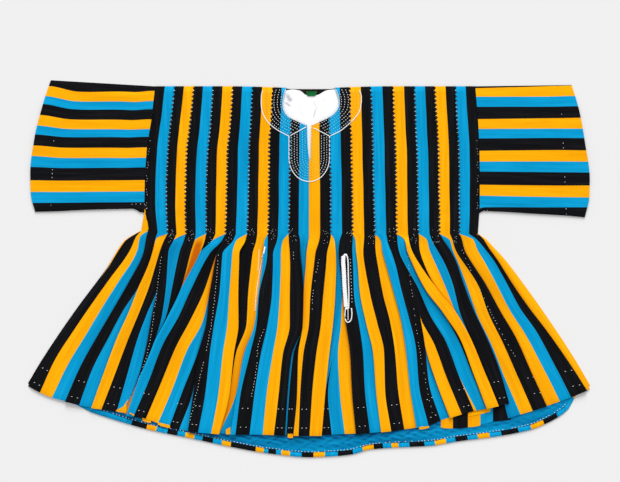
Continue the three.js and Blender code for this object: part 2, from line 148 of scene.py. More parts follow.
# Neck: its ends at the shoulder, the corners of its two curves, and the slit as (place across, height)
NECK_LEFT = -56
NECK_RIGHT = 64
NECK_TOP_Y = 441
NECK_LEFT_CURVE = ((-56, 441), (-70, 399), (-64, 375), (-33, 365))
NECK_RIGHT_CURVE = ((64, 441), (82, 407), (74, 383), (40, 368))
SLIT = (
    (-4.9, 352), (-4.9, 338), (-3.4, 299), (0, 272), (2.8, 260), (4.7, 270), (4.9, 299), (6.0, 338),
    (6.0, 352),
)
BACK_NECK_REACH = 14
# Behind the neck the back's top is painted near-black as shade, above this height and this far beside the
# neck
BACK_BAND_Y = 405
BACK_BAND_BESIDE = 20
NECK_CUTTER_FROM = -20
NECK_CUTTER_TO = 40

# Skirt: how far its left and right edges have run from the waist to the hem, as (down, out). The seam at the
# waist's left end lies a little higher, in millimetres across and up.
FLARE = ((0, 0), (0.066, 0.16), (0.234, 0.31), (0.51, 0.58), (0.835, 0.87), (1, 1))
FLARE_RIGHT = (
    (0, 0), (0.03, 0.066), (0.09, 0.143), (0.168, 0.241), (0.234, 0.31), (0.51, 0.58), (0.835, 0.87), (1, 1),
)
WAIST_END = {"rise": 8, "from": 340, "run": 60, "reach": 35}
SKIRT_WAIST = (-411, 414)
SKIRT_HEM = (-689, 689)

# Hem lines as (place across, height). The right one belongs to the stripes from FIRST_RIGHT_STRIPE on.
FRONT_HEM = (
    (-689, -287), (-644, -310), (-605, -322), (-546, -337), (-488, -347), (-429, -360), (-390, -370),
    (-340, -390), (-292, -397), (-194, -404), (0, -407), (100, -404), (199, -397), (248, -391),
    (296, -382), (321, -371), (394, -350), (488, -328), (520, -325), (689, -294),
)
FRONT_HEM_RIGHT = ((-689, -400), (460, -372), (489, -365), (570, -340), (632, -318), (689, -294))
FIRST_RIGHT_STRIPE = 63
FRONT_HEM_LOW = -400
BACK_HEM = (
    (-689, -280), (-605, -315), (-546, -346), (-468, -372), (-390, -394), (-292, -414), (-194, -435),
    (-96, -452), (2, -461), (51, -459), (100, -455), (150, -442), (199, -438), (297, -433), (365, -422),
    (453, -411), (542, -394), (600, -369), (622, -355), (634, -345), (650, -318), (660, -300), (689, -285),
)

# Each stripe of the front skirt from left to right: its cloth, and how much of it shows at each level,
# in parts of the level's whole width. A stripe of 0 is still hidden in its fold there. A lap is how high
# the stripe's left or right edge stands, folded over its neighbour. Waist shares come from the body.
# Shade is how much painted shade the stripe gets from its fold's shadow, from 0 to 1, at the waist and at the
# hem.
SKIRT_LEVELS = (0, 0.1, 0.3, 0.45, 0.6, 0.8, 1)
SkirtStripe = namedtuple(
    "SkirtStripe", "cloth at_waist shows left_lap right_lap shade", defaults=(0, 0, (0, 0))
)
SKIRT_STRIPES = (
    SkirtStripe("Y", False, (1.2, 0, 0, 0, 0, 0)),
    SkirtStripe("K", False, (11, 9, 9, 9, 9, 12)),
    SkirtStripe("Y", True, (7, 10, 11, 12.5, 13, 12)),
    SkirtStripe("B", False, (7, 10, 11, 11, 12, 13), shade=(0.5, 0)),
    SkirtStripe("K", True, (9, 12, 10, 11, 12, 14), 3),
    SkirtStripe("B", True, (0, 0, 6, 8, 12, 12)),
    SkirtStripe("Y", False, (7, 10, 10, 11, 11, 10), 3.5),
    SkirtStripe("K", True, (5, 9, 8, 9, 12, 15)),
    SkirtStripe("B", False, (0, 0, 5, 10, 11, 7)),
    SkirtStripe("K", False, (4, 8, 10, 7, 1, 0), 4),
    SkirtStripe("Y", True, (0, 0, 0, 0, 0, 0)),
    SkirtStripe("B", False, (11, 6, 4, 0, 0, 0), 3, shade=(0.7, 0.2)),
    SkirtStripe("K", True, (11.5, 9, 2, 0, 0, 0)),
    SkirtStripe("B", True, (0, 0, 0, 0, 0, 0)),
    SkirtStripe("Y", False, (9.5, 0, 0, 0, 0, 0), shade=(1, 1)),
    SkirtStripe("K", True, (0, 0, 0, 0, 0, 0)),
    SkirtStripe("Y", True, (0, 0, 0, 0, 0, 0)),
    SkirtStripe("Y", False, (0, 0, 0, 0, 0, 3)),
    SkirtStripe("B", False, (10, 10, 10, 9, 10, 7), 8),
    SkirtStripe("K", False, (7, 13, 12, 13, 12, 12)),
    SkirtStripe("Y", False, (0, 6, 12, 11, 12, 12)),
    SkirtStripe("B", False, (0, 0, 4, 11, 10, 11), shade=(0, 0.2)),
    SkirtStripe("K", False, (0, 0, 0, 1, 10, 10)),
    SkirtStripe("B", False, (0, 0, 0, 0, 0.5, 9)),
    SkirtStripe("K", True, (6, 10, 8, 11, 12, 10), 5),
    SkirtStripe("B", True, (10, 10, 13, 13, 13, 13)),
    SkirtStripe("Y", False, (7, 9, 11, 11, 11, 8), 0, 5),
    SkirtStripe("K", True, (13.5, 10, 8, 2, 0, 0)),
    SkirtStripe("Y", True, (11, 10, 8, 8, 6.5, 0), shade=(0, 0.9)),
    SkirtStripe("B", False, (0, 0, 0, 0, 0.5, 11), shade=(0.3, 0.6)),
    SkirtStripe("B", False, (4, 1, 2, 6, 4, 5), 5),
    SkirtStripe("K", True, (6, 13, 11, 11, 14, 14)),
    SkirtStripe("B", True, (8, 8, 10, 12, 12, 13)),
    SkirtStripe("Y", False, (9, 10, 12, 10, 12, 11)),
    SkirtStripe("K", True, (11, 14, 13, 9, 9, 11), 0, 4),
    SkirtStripe("B", False, (0, 0, 0, 1.5, 1.5, 1.5), shade=(0.7, 0.7)),
    SkirtStripe("K", False, (0, 0, 0, 5, 8, 7)),
    SkirtStripe("B", True, (6, 0, 0, 0, 0, 0), shade=(0.6, 0.2)),
    SkirtStripe("Y", True, (9, 7, 6, 5, 3, 5), 5),
    SkirtStripe("K", True, (12, 13, 12, 13, 12, 11)),
    SkirtStripe("Y", False, (9, 12, 12, 13, 13, 12), 0, 5, shade=(0, 0.3)),
    SkirtStripe("B", True, (3, 7, 5, 4, 0, 0), shade=(0.6, 0.6)),
    SkirtStripe("K", False, (0, 0, 0, 0, 3, 10)),
    SkirtStripe("B", False, (0, 0, 3, 5, 12, 13), shade=(0.3, 0.5)),
    SkirtStripe("Y", False, (0, 0, 5, 12, 12, 11)),
    SkirtStripe("K", True, (14, 12, 13, 13, 13, 14), 4),
    SkirtStripe("B", False, (4, 6, 7, 10, 11, 11)),
    SkirtStripe("Y", True, (7, 10, 11, 11, 9, 10), 3),
    SkirtStripe("K", True, (13, 13, 13, 11, 13, 13)),
    SkirtStripe("Y", False, (7, 11, 11, 11, 12, 12)),
    SkirtStripe("B", True, (9, 8, 8, 10, 9, 12), 3),
    SkirtStripe("K", True, (8, 14, 11, 9, 10, 12)),
    SkirtStripe("B", False, (0, 0, 0, 0, 7, 9)),
    SkirtStripe("Y", False, (0, 0, 0, 9, 11, 12), 5),
    SkirtStripe("K", False, (0, 3, 10, 12, 12, 12)),
    SkirtStripe("Y", False, (0, 0, 0, 0, 0, 2.4)),
    SkirtStripe("B", False, (8, 6, 13, 12, 13, 10)),
    # This black sliver is a painted shadow line along the next stripe's folded left edge
    SkirtStripe("K", False, (0, 0, 0, 2, 1, 0)),
    SkirtStripe("Y", True, (5, 11, 12, 10, 11, 12), 7, 8),
    SkirtStripe("K", True, (8, 0, 0, 0, 0, 0), shade=(0.3, 0.3)),
    SkirtStripe("Y", False, (10, 10, 0, 0, 0, 0), shade=(0.1, 0.6)),
    SkirtStripe("B", True, (8, 8, 4, 0, 0, 0), shade=(0.4, 0.6)),
    SkirtStripe("K", True, (13, 11, 14, 16, 15, 10.6), 0, 5),
    SkirtStripe("B", False, (3, 4, 4, 5, 6, 11.4), shade=(0.5, 0.6)),
    SkirtStripe("Y", True, (3, 11, 11, 11, 12, 12)),
    SkirtStripe("K", True, (9, 8, 12, 14, 14, 14), 0, 3),
    SkirtStripe("Y", False, (13, 10, 9, 10, 12, 13)),
    SkirtStripe("B", True, (8, 10, 10, 11, 11, 11)),
    SkirtStripe("K", True, (4.5, 5, 8, 9, 13, 16), 0, 3),
    SkirtStripe("Y", False, (5.5, 9, 9, 7, 5, 3)),
)

# Folds of the front skirt: their reach across, their height and the painted shadow beside them
FOLD_REACH = {"waist": 40, "hem": 85}
FOLD_FALL = 1.5
FOLD_HEIGHT = 1.6
TALLEST_FOLD = 11
SHADOW_REACH = 9
SHADOW_LAP = 7
SHADOW_IN_LAP = 0.8
LAP_TUCK = 2.6
LAP_ROOM = 8
LAP_SEEN = 10
MERGED = 0.1

# How the folds open, in shares of the way down. Where they have turned, the stripes that come out of them
# have swung out, and the others have followed a little, more so towards the sides.
GATHER_DOWN = 0.1
GATHERED_SHARE = 0.3
FOLDS_OPEN = 0.06
FOLDS_TURN = 0.035
FOLDS_SWING = 0.75
FOLDS_FOLLOW = 0.22
FOLLOW_MORE = {"from": 250, "run": 150}
HEM_LIFT_SHARE = 0.65
HEM_CURL_FROM = 0.985
HEM_CURL = 0.9
HEM_SAG_FROM = 0.6
HEM_SAG = 0.35

# Back hem: its edge turned up over the blue facing, which runs between two places across
TURN_UP = 10
FACING_DEPTH = 82
# Reach of the front skirt's painted shadow on the facing, then the places across where the blotches fade out
FACING_SHADOW = 12
FACING_BLOTCHY = (-430, -330)
FACING = (-585, 650)
FACING_END_RUN = 20

# Camera: straight above, with the photograph's width of floor in its frame
CAMERA_X = 2.5
CAMERA_Y = 68.6
CAMERA_HEIGHT = 4000
SENSOR = 36
FRAME_WIDTH = 1519
FARTHEST_SEEN = 50

# Light: even from all round, with a soft key from beyond the neck
WORLD_LIGHT = 0.76
KEY_LIGHT = 3.8
KEY_SOFTNESS = 30
KEY_TILT = 64
KEY_LEAN = 8

# Letters of the stripes' cloths: black, yellow and blue. Each piece's map lies this far from the next.
CLOTHS = "KYB"
OTHER_CLOTH = 1000


def lerp(a, b, t):
    """Place between a and b at a share t of the way."""
    return a + (b - a) * t


def smooth(t):
    """Soft step from 0 to 1."""
    t = np.clip(t, 0.0, 1.0)
    return t * t * (3 - 2 * t)


def look_up(table, at):
    """Straight-line reading of a table of pairs whose first column rises."""
    keys, values = zip(*table)
    return np.interp(at, keys, values)


def curve_through(keys, values, at):
    """Smooth reading of a table that never passes beyond its own values. values may have more columns."""
    keys = np.asarray(keys, float)
    values = np.asarray(values, float)
    at = np.asarray(at, float)
    extra = (1,) * (values.ndim - 1)
    step = np.diff(keys).reshape((-1,) + extra)
    slope = np.diff(values, axis=0) / step
    product = slope[1:] * slope[:-1]
    total = slope[1:] + slope[:-1]
    inner = np.where(product > 0, 2 * product / np.where(total == 0, 1, total), 0)
    tangent = np.concatenate([slope[:1], inner, slope[-1:]])
    i = np.clip(np.searchsorted(keys, at, side="right") - 1, 0, len(keys) - 2)
    share = np.clip((at - keys[i]) / np.diff(keys)[i], 0, 1)
    s = share.reshape(at.shape + extra)
    width = step[i].reshape(at.shape + extra)
    a, b = values[i], values[i + 1]
    ta, tb = tangent[i] * width, tangent[i + 1] * width
    return (
        a * (1 + 2 * s) * (1 - s) ** 2 + ta * s * (1 - s) ** 2
        + b * s * s * (3 - 2 * s) + tb * s * s * (s - 1)
    )


def along_table(table, at):
    """Smooth reading of a table of pairs whose first column rises."""
    keys, values = zip(*table)
    return curve_through(keys, values, at)


def grid_of(*parts):
    """Grid of points, or of places in the cloth, from one array or number for each coordinate."""
    return np.stack(np.broadcast_arrays(*parts), axis=-1)


def ripple(x, y, size, seed):
    """Slow uneven swell between about -1 and 1, the same on every run."""
    a = np.sin(x / size + 1.7 * seed) * np.cos(y / (1.31 * size) + 0.9 * seed)
    b = np.sin((0.6 * x + 0.9 * y) / (0.73 * size) + 2.3 * seed)
    c = np.sin((0.9 * x - 0.5 * y) / (0.51 * size) + 4.1 * seed)
    return 0.5 * a + 0.3 * b + 0.2 * c


Crease = namedtuple("Crease", "start end height width bend", defaults=(0,))
CREASE_FADE = 0.3


def creases(rows, x, y):
    """Height of soft ridges and troughs, each along a line with its own height and width."""
    height = np.zeros(np.broadcast(x, y).shape)
    for row in rows:
        dx, dy = row.end[0] - row.start[0], row.end[1] - row.start[1]
        length = math.hypot(dx, dy)
        along = ((x - row.start[0]) * dx + (y - row.start[1]) * dy) / length**2
        across = ((x - row.start[0]) * dy - (y - row.start[1]) * dx) / length
        bend = row.bend * np.sin(math.pi * np.clip(along, 0, 1))
        fade = smooth(along / CREASE_FADE) * smooth((1 - along) / CREASE_FADE)
        height = height + row.height * fade * np.exp(-(((across - bend) / row.width) ** 2))
    return height


# Materials

# Numbers of the colour sockets on a mix node
MIX_FACTOR = 0
MIX_FIRST = 6
MIX_SECOND = 7
MIX_RESULT = 2


def new_material(name):
    material = bpy.data.materials.new(name)
    material.use_nodes = True
    material.node_tree.nodes.clear()
    return material


class Nodes:
    """Short way to add and join a material's nodes."""

    def __init__(self, material):
        self.tree = material.node_tree

    def add(self, kind, inputs=None, **settings):
        node = self.tree.nodes.new(kind)
        for key, value in settings.items():
            setattr(node, key, value)
        for key, value in (inputs or {}).items():
            if isinstance(value, bpy.types.NodeSocket):
                self.tree.links.new(value, node.inputs[key])
            else:
                node.inputs[key].default_value = value
        return node

    def math(self, operation, a, b=0.0):
        return self.add("ShaderNodeMath", {0: a, 1: b}, operation=operation).outputs[0]

    def ramp(self, factor, stops):
        node = self.add("ShaderNodeValToRGB", {"Fac": factor})
        elements = node.color_ramp.elements
        for i, (place, colour) in enumerate(stops):
            element = elements[i] if i < 2 else elements.new(place)
            element.position = place
            element.color = (*colour, 1)
        return node.outputs["Color"]

    def streaks(self, place, stretch, detail, roughness):
        """Uneven cloud, drawn out along the warp by a scale for each way of the cloth."""
        drawn = self.add("ShaderNodeMapping", {"Vector": place, "Scale": stretch}).outputs[0]
        inputs = {"Vector": drawn, "Scale": 1.0, "Detail": detail, "Roughness": roughness}
        return self.add("ShaderNodeTexNoise", inputs).outputs[0]

    def bands(self, place, scale, direction, distortion, detail):
        inputs = {"Vector": place, "Scale": scale, "Distortion": distortion, "Detail": detail}
        node = self.add("ShaderNodeTexWave", inputs, wave_type="BANDS", bands_direction=direction)
        return node.outputs["Fac"]

    def multiplied(self, first, second, factor):
        inputs = {MIX_FACTOR: factor, MIX_FIRST: first, MIX_SECOND: second}
        node = self.add("ShaderNodeMix", inputs, data_type="RGBA", blend_type="MULTIPLY")
        return node.outputs[MIX_RESULT]


# A band texture repeats this many times as closely as its scale says
BAND_SCALE = 20
WEFT_SPREAD = 0.8


def cloth_material(name, dark, plain, light, sheen, deep=(0.5, 0.5, 0.5), thread=0.9, streak=0.5, bump=0.35):
    """Handwoven cotton: threads both ways, long uneven streaks along the warp, and a soft sheen.
    The cloth's map runs along the warp in U and across it in V, in metres. deep is the tint of the painted
    shade in a fold."""
    material = new_material(name)
    n = Nodes(material)
    place = n.add("ShaderNodeUVMap", uv_map="warp").outputs["UV"]
    fine = n.streaks(place, (9, 420, 1), detail=3.0, roughness=0.6)
    broad = n.streaks(place, (5, 90, 1), detail=2.0, roughness=0.5)
    mixed = n.math("ADD", n.math("MULTIPLY", fine, streak), n.math("MULTIPLY", broad, 1 - streak))
    colour = n.ramp(mixed, ((0.36, dark), (0.64, light), (0.5, plain)))
    across = 2 * math.pi / (thread * MM) / BAND_SCALE
    warp = n.bands(place, across, "Y", distortion=0.6, detail=1.0)
    weft = n.bands(place, across * WEFT_SPREAD, "X", distortion=0.8, detail=1.0)
    weave = n.math("ADD", n.math("MAXIMUM", warp, weft), n.math("MULTIPLY", mixed, 0.8))
    relief = n.add("ShaderNodeBump", {"Height": weave, "Strength": bump, "Distance": 0.0004})
    # Painted shade and mottle: this point attribute darkens the colour towards the deep tint
    painted_shade_and_mottle = n.add("ShaderNodeAttribute", attribute_name="painted_shade_and_mottle").outputs["Fac"]
    shadow = n.ramp(painted_shade_and_mottle, ((0, (1, 1, 1)), (1, deep)))
    shader = n.add("ShaderNodeBsdfPrincipled", {
        "Base Color": n.multiplied(colour, shadow, painted_shade_and_mottle),
        "Roughness": 0.86,
        "Specular IOR Level": 0.06,
        "Sheen Weight": sheen,
        "Sheen Roughness": 0.5,
        "Normal": relief.outputs[0],
    })
    n.add("ShaderNodeOutputMaterial", {"Surface": shader.outputs[0]})
    return material


def thread_material(name, plain, shade, twist=900):
    """Cotton thread: fine twisted strands."""
    material = new_material(name)
    n = Nodes(material)
    place = n.add("ShaderNodeTexCoord").outputs["Object"]
    twisted = n.bands(place, twist, "DIAGONAL", distortion=1.5, detail=2.0)
    colour = n.ramp(twisted, ((0.2, shade), (0.7, plain)))
    relief = n.add("ShaderNodeBump", {"Height": twisted, "Strength": 0.4, "Distance": 0.0003})
    shader = n.add("ShaderNodeBsdfPrincipled", {
        "Base Color": colour,
        "Roughness": 0.75,
        "Sheen Weight": 0.2,
        "Normal": relief.outputs[0],
    })
    n.add("ShaderNodeOutputMaterial", {"Surface": shader.outputs[0]})
    return material


def floor_material():
    material = new_material("plain_floor")
    n = Nodes(material)
    place = n.add("ShaderNodeTexCoord").outputs["Object"]
    cloud = n.add("ShaderNodeTexNoise", {"Vector": place, "Scale": 1.5, "Detail": 2.0}).outputs[0]
    colour = n.ramp(cloud, ((0.3, (0.675, 0.675, 0.675)), (0.7, (0.685, 0.685, 0.685))))
    shader = n.add("ShaderNodeBsdfPrincipled",
                   {"Base Color": colour, "Roughness": 0.9, "Specular IOR Level": 0.1})
    n.add("ShaderNodeOutputMaterial", {"Surface": shader.outputs[0]})
    return material


# Each cloth's deep tint is the colour that its painted shade turns towards
STRIPED = {
    "K": cloth_material("black_cotton", (0.0022, 0.0024, 0.0034), (0.0036, 0.0038, 0.005),
                        (0.0085, 0.0085, 0.011), 0.003, streak=0.6, bump=0.5),
    "Y": cloth_material("yellow_cotton", (0.74, 0.29, 0.0), (0.82, 0.345, 0.0), (0.86, 0.40, 0.002), 0.004,
                        deep=(0.62, 0.30, 0.2)),
    "B": cloth_material("blue_cotton", (0.0, 0.225, 0.45), (0.0, 0.27, 0.53), (0.004, 0.32, 0.60), 0.004,
                        deep=(0.3, 0.36, 0.46)),
}
BLUE_FACING = cloth_material("blue_facing_cotton", (0.0, 0.13, 0.29), (0.0, 0.21, 0.43),
                             (0.002, 0.28, 0.54), 0.004, deep=(0.22, 0.3, 0.42), streak=0.3)
WHITE_LINING = cloth_material("white_lining_cotton", (0.78, 0.78, 0.79), (0.80, 0.80, 0.805),
                              (0.81, 0.81, 0.81), 0.03, deep=(0.55, 0.56, 0.6), thread=0.6, bump=0.15)
GREEN_LABEL = cloth_material("green_label_satin", (0.003, 0.06, 0.015), (0.006, 0.10, 0.025),
                             (0.012, 0.15, 0.04), 0.05, thread=0.5)
# Near-black cloth colours for the back behind the neck: painted shade where the back neck lies in shadow
PAINTED_NECK_SHADE = cloth_material("painted_neck_shade_cotton", (0.004, 0.003, 0.003), (0.009, 0.006, 0.005),
                             (0.03, 0.016, 0.008), 0.003)
WHITE_THREAD = thread_material("white_cotton_thread", (0.86, 0.86, 0.86), (0.66, 0.66, 0.70))
BLACK_THREAD = thread_material("black_cotton_thread", (0.006, 0.006, 0.008), (0.002, 0.002, 0.003))
YELLOW_TINGED_THREAD = thread_material("white_thread_on_yellow", (0.90, 0.56, 0.12), (0.84, 0.45, 0.05))
BLUE_TINGED_THREAD = thread_material("white_thread_on_blue", (0.30, 0.66, 0.78), (0.14, 0.52, 0.72))
THREAD_ON_STRIPES = [WHITE_THREAD, YELLOW_TINGED_THREAD, BLUE_TINGED_THREAD]
STRIPE_MATERIALS = [STRIPED[cloth] for cloth in CLOTHS]


# Meshes

def add_object(name, mesh):
    piece = bpy.data.objects.new(name, mesh)
    bpy.context.scene.collection.objects.link(piece)
    return piece


@contextmanager
def changing(mesh):
    """Opens a mesh for changes, and writes them back at the end."""
    work = bmesh.new()
    work.from_mesh(mesh)
    yield work
    work.to_mesh(mesh)
    work.free()


def face_out(work):
    bmesh.ops.recalc_face_normals(work, faces=work.faces)


JOIN_WITHIN = 0.03
NO_LENGTH = 0.02
NO_AREA = 1e-3
SHARP_ANGLE = 50


def finish_mesh(mesh):
    """Joins points that lie on each other, drops faces without area and keeps real folds sharp."""
    with changing(mesh) as work:
        bmesh.ops.remove_doubles(work, verts=work.verts, dist=JOIN_WITHIN * MM)
        bmesh.ops.dissolve_degenerate(work, edges=work.edges, dist=NO_LENGTH * MM)
        loose = [v for v in work.verts if not v.link_faces]
        bmesh.ops.delete(work, geom=loose, context="VERTS")
        for face in work.faces:
            face.smooth = True
        limit = math.radians(SHARP_ANGLE)
        for edge in work.edges:
            if len(edge.link_faces) == 2 and edge.calc_face_angle(0) > limit:
                edge.smooth = False


def sheet_object(name, points, cloth, warp, materials, loop=False, painted_shade_and_mottle=None):
    """Cloth over a grid of points. cloth gives each column of faces its material, or -1 for none, and
    warp the place of each point in the cloth. The last argument is how deep each point lies in a fold's
    painted shade, with any mottle added."""
    rows, columns = points.shape[:2]
    index = np.arange(rows * columns).reshape(rows, columns)
    right = np.roll(index, -1, axis=1) if loop else index[:, 1:]
    left = index if loop else index[:, :-1]
    faces = np.stack([left[:-1], left[1:], right[1:], right[:-1]], axis=-1)
    kinds = np.broadcast_to(np.asarray(cloth), faces.shape[:2])
    flat = points.reshape(-1, 3)
    diagonal_a = flat[faces[..., 2]] - flat[faces[..., 0]]
    diagonal_b = flat[faces[..., 3]] - flat[faces[..., 1]]
    area = np.linalg.norm(np.cross(diagonal_a, diagonal_b), axis=-1) / 2
    made = (kinds >= 0) & (area > NO_AREA)
    faces = faces[made]
    mesh = bpy.data.meshes.new(name)
    mesh.from_pydata((flat * MM).tolist(), [], faces.tolist())
    for material in materials:
        mesh.materials.append(material)
    mesh.polygons.foreach_set("material_index", kinds[made].astype(np.int32))
    layer = mesh.uv_layers.new(name="warp")
    corners = warp.reshape(-1, 2)[faces.reshape(-1)] * MM
    layer.data.foreach_set("uv", corners.astype(np.float32).ravel())
    # Painted shade and mottle, kept on the points for the material to read
    if painted_shade_and_mottle is not None:
        depth = mesh.attributes.new("painted_shade_and_mottle", "FLOAT", "POINT")
        depth.data.foreach_set("value", painted_shade_and_mottle.astype(np.float32).ravel())
    finish_mesh(mesh)
    return add_object(name, mesh)


def join(piece, other):
    """Puts the other piece's mesh into the first one's."""
    with changing(piece.data) as work:
        work.from_mesh(other.data)
    bpy.data.objects.remove(other)


def apply_modifiers(piece):
    view = bpy.context.evaluated_depsgraph_get()
    done = bpy.data.meshes.new_from_object(piece.evaluated_get(view), depsgraph=view)
    piece.modifiers.clear()
    old = piece.data
    piece.data = done
    bpy.data.meshes.remove(old)


def thicken(piece, thickness, offset=-1):
    """Gives a sheet its cloth wall, below it, or half on each side with an offset of 0."""
    wall = piece.modifiers.new("cloth wall", "SOLIDIFY")
    wall.thickness = thickness * MM
    wall.offset = offset
    wall.use_even_offset = False
    wall.use_rim = True
    apply_modifiers(piece)
    finish_mesh(piece.data)
    return piece


# Shape of the garment

def photo_place(px, py):
    """Place on the garment of a point of the photograph, in its pixels."""
    return ((px - PHOTO_ZERO[0]) * PHOTO_PIXEL, (PHOTO_ZERO[1] - py) * PHOTO_PIXEL)


def body_edge(side, y):
    """Place across of the body's edge at a height. side is -1 on the photograph's left and 1 on its right."""
    return look_up(BODY_LEFT if side < 0 else BODY_RIGHT, y)


def shoulder_y(x):
    """Height of the shoulder fold, a little lower towards the neck."""
    return SHOULDER_Y - SHOULDER_DIP * smooth(1 - np.abs(x) / SHOULDER_DIP_REACH)


def front_underside(from_edge):
    """Underside of the front cloth, which comes down towards its edges."""
    return lerp(EDGE_UNDERSIDE, FRONT_UNDERSIDE, smooth(from_edge / EDGE_ROLL))


def edge_drop(from_edge):
    """How far the cloth's upper side turns down at its very edge."""
    return EDGE_DROP * (1 - smooth(from_edge / EDGE_DROP_RUN))


def tuck_seam(side, tuck, y):
    """Place across of a stitched seam, counted from the middle of the front."""
    edge = np.abs(body_edge(side, y))
    if tuck == 0:
        return 0 * edge
    if side > 0 and tuck == TUCKS:
        return edge
    seams = LEFT_SEAMS if side < 0 else RIGHT_SEAMS
    across = curve_through(list(seams), [row[tuck - 1] for row in seams.values()], y)
    return np.minimum(across, edge)


def waist_seams(side):
    """Places of the seams at the waist, from the middle outwards."""
    return [float(tuck_seam(side, tuck, WAIST_Y)) for tuck in range(TUCKS + 1)]


def skirt_sides(down):
    """Places of the skirt's left and right edge at a share of the way down."""
    left = lerp(SKIRT_WAIST[0], SKIRT_HEM[0], along_table(FLARE, down))
    right = lerp(SKIRT_WAIST[1], SKIRT_HEM[1], along_table(FLARE_RIGHT, down))
    return left, right


def skirt_place(share, down, hem):
    """Place on the laid-out skirt at a share of its width and a share of the way down."""
    left, right = skirt_sides(down)
    hem_x = lerp(SKIRT_HEM[0], SKIRT_HEM[1], share)
    y = lerp(WAIST_Y - WAIST_GAP, along_table(hem, hem_x), down)
    return lerp(left, right, share), y


def back_hem_run(hem):
    """For places along the hem, their share of the skirt's width and the back skirt's depth there."""
    share = (hem - SKIRT_HEM[0]) / (SKIRT_HEM[1] - SKIRT_HEM[0])
    return share, WAIST_Y - along_table(BACK_HEM, hem)


# Front of the body

BODY_CREASES = (
    Crease((-330, 400), (-250, 120), 1.2, 16, 8),
    Crease((-180, 120), (-215, 320), 0.9, 18, -6),
    Crease((190, 110), (230, 330), 1.0, 16, 7),
    Crease((350, 420), (300, 180), 1.1, 18, -8),
    Crease((-390, 160), (-300, 120), -0.9, 12),
    Crease((395, 165), (300, 115), -0.9, 12),
    Crease((70, 100), (110, 230), 0.8, 14),
)


BodyColumn = namedtuple("BodyColumn", "tuck share shift stand point stripe")
TuckLip = namedtuple("TuckLip", "shift stand point")
TUCK_LIPS = (
    TuckLip(TUCK_LIP, 0.0, 0),
    TuckLip(0.1, 0.45, 0.6),
    TuckLip(0, 0.75, 1),
    TuckLip(0.7, 0.94, 1),
    TuckLip(2.2, 1, 0.5),
)


def body_columns(side):
    """Columns over the tucks of one half. share runs across a stripe, shift is in millimetres outwards,
    stand is how much of the fold's height the point has, and point how much of the tooth."""
    cloth = LEFT_TUCK_CLOTH if side < 0 else RIGHT_TUCK_CLOTH
    columns = []
    for tuck in range(TUCKS):
        coloured = CLOTHS.index(cloth[tuck])
        for lip in TUCK_LIPS:
            columns.append(BodyColumn(tuck, 0, lip.shift, lip.stand, lip.point, coloured))
        for share in (0.2, 0.4, 0.6, 0.8, 1.0):
            columns.append(BodyColumn(tuck, share * COLOURED_SHARE, 0, 1, 0, coloured))
        for share in (0, 0.25, 0.5, 0.75):
            columns.append(BodyColumn(tuck, lerp(COLOURED_SHARE, 1, share), 0, 1, 0, 0))
        for shift in (-0.5, TUCK_LIP):
            columns.append(BodyColumn(tuck, 1, shift, 1, 0, 0))
    if side < 0:
        strip = CLOTHS.index(BODY_SIDE_STRIP)
        columns += [BodyColumn(TUCKS, share, 0, 0, 0, strip) for share in SIDE_STRIP_SHARES]
    return columns


def seam_waver(tuck, y):
    """Small wavering of a seam to both sides, which ends at the waist."""
    waver = sum(wave.width * np.sin(y / wave.length + wave.shift * tuck) for wave in SEAM_WAVES)
    return waver * (tuck > 0) * smooth((y - WAIST_Y) / TUCK_WAVER_RUN)


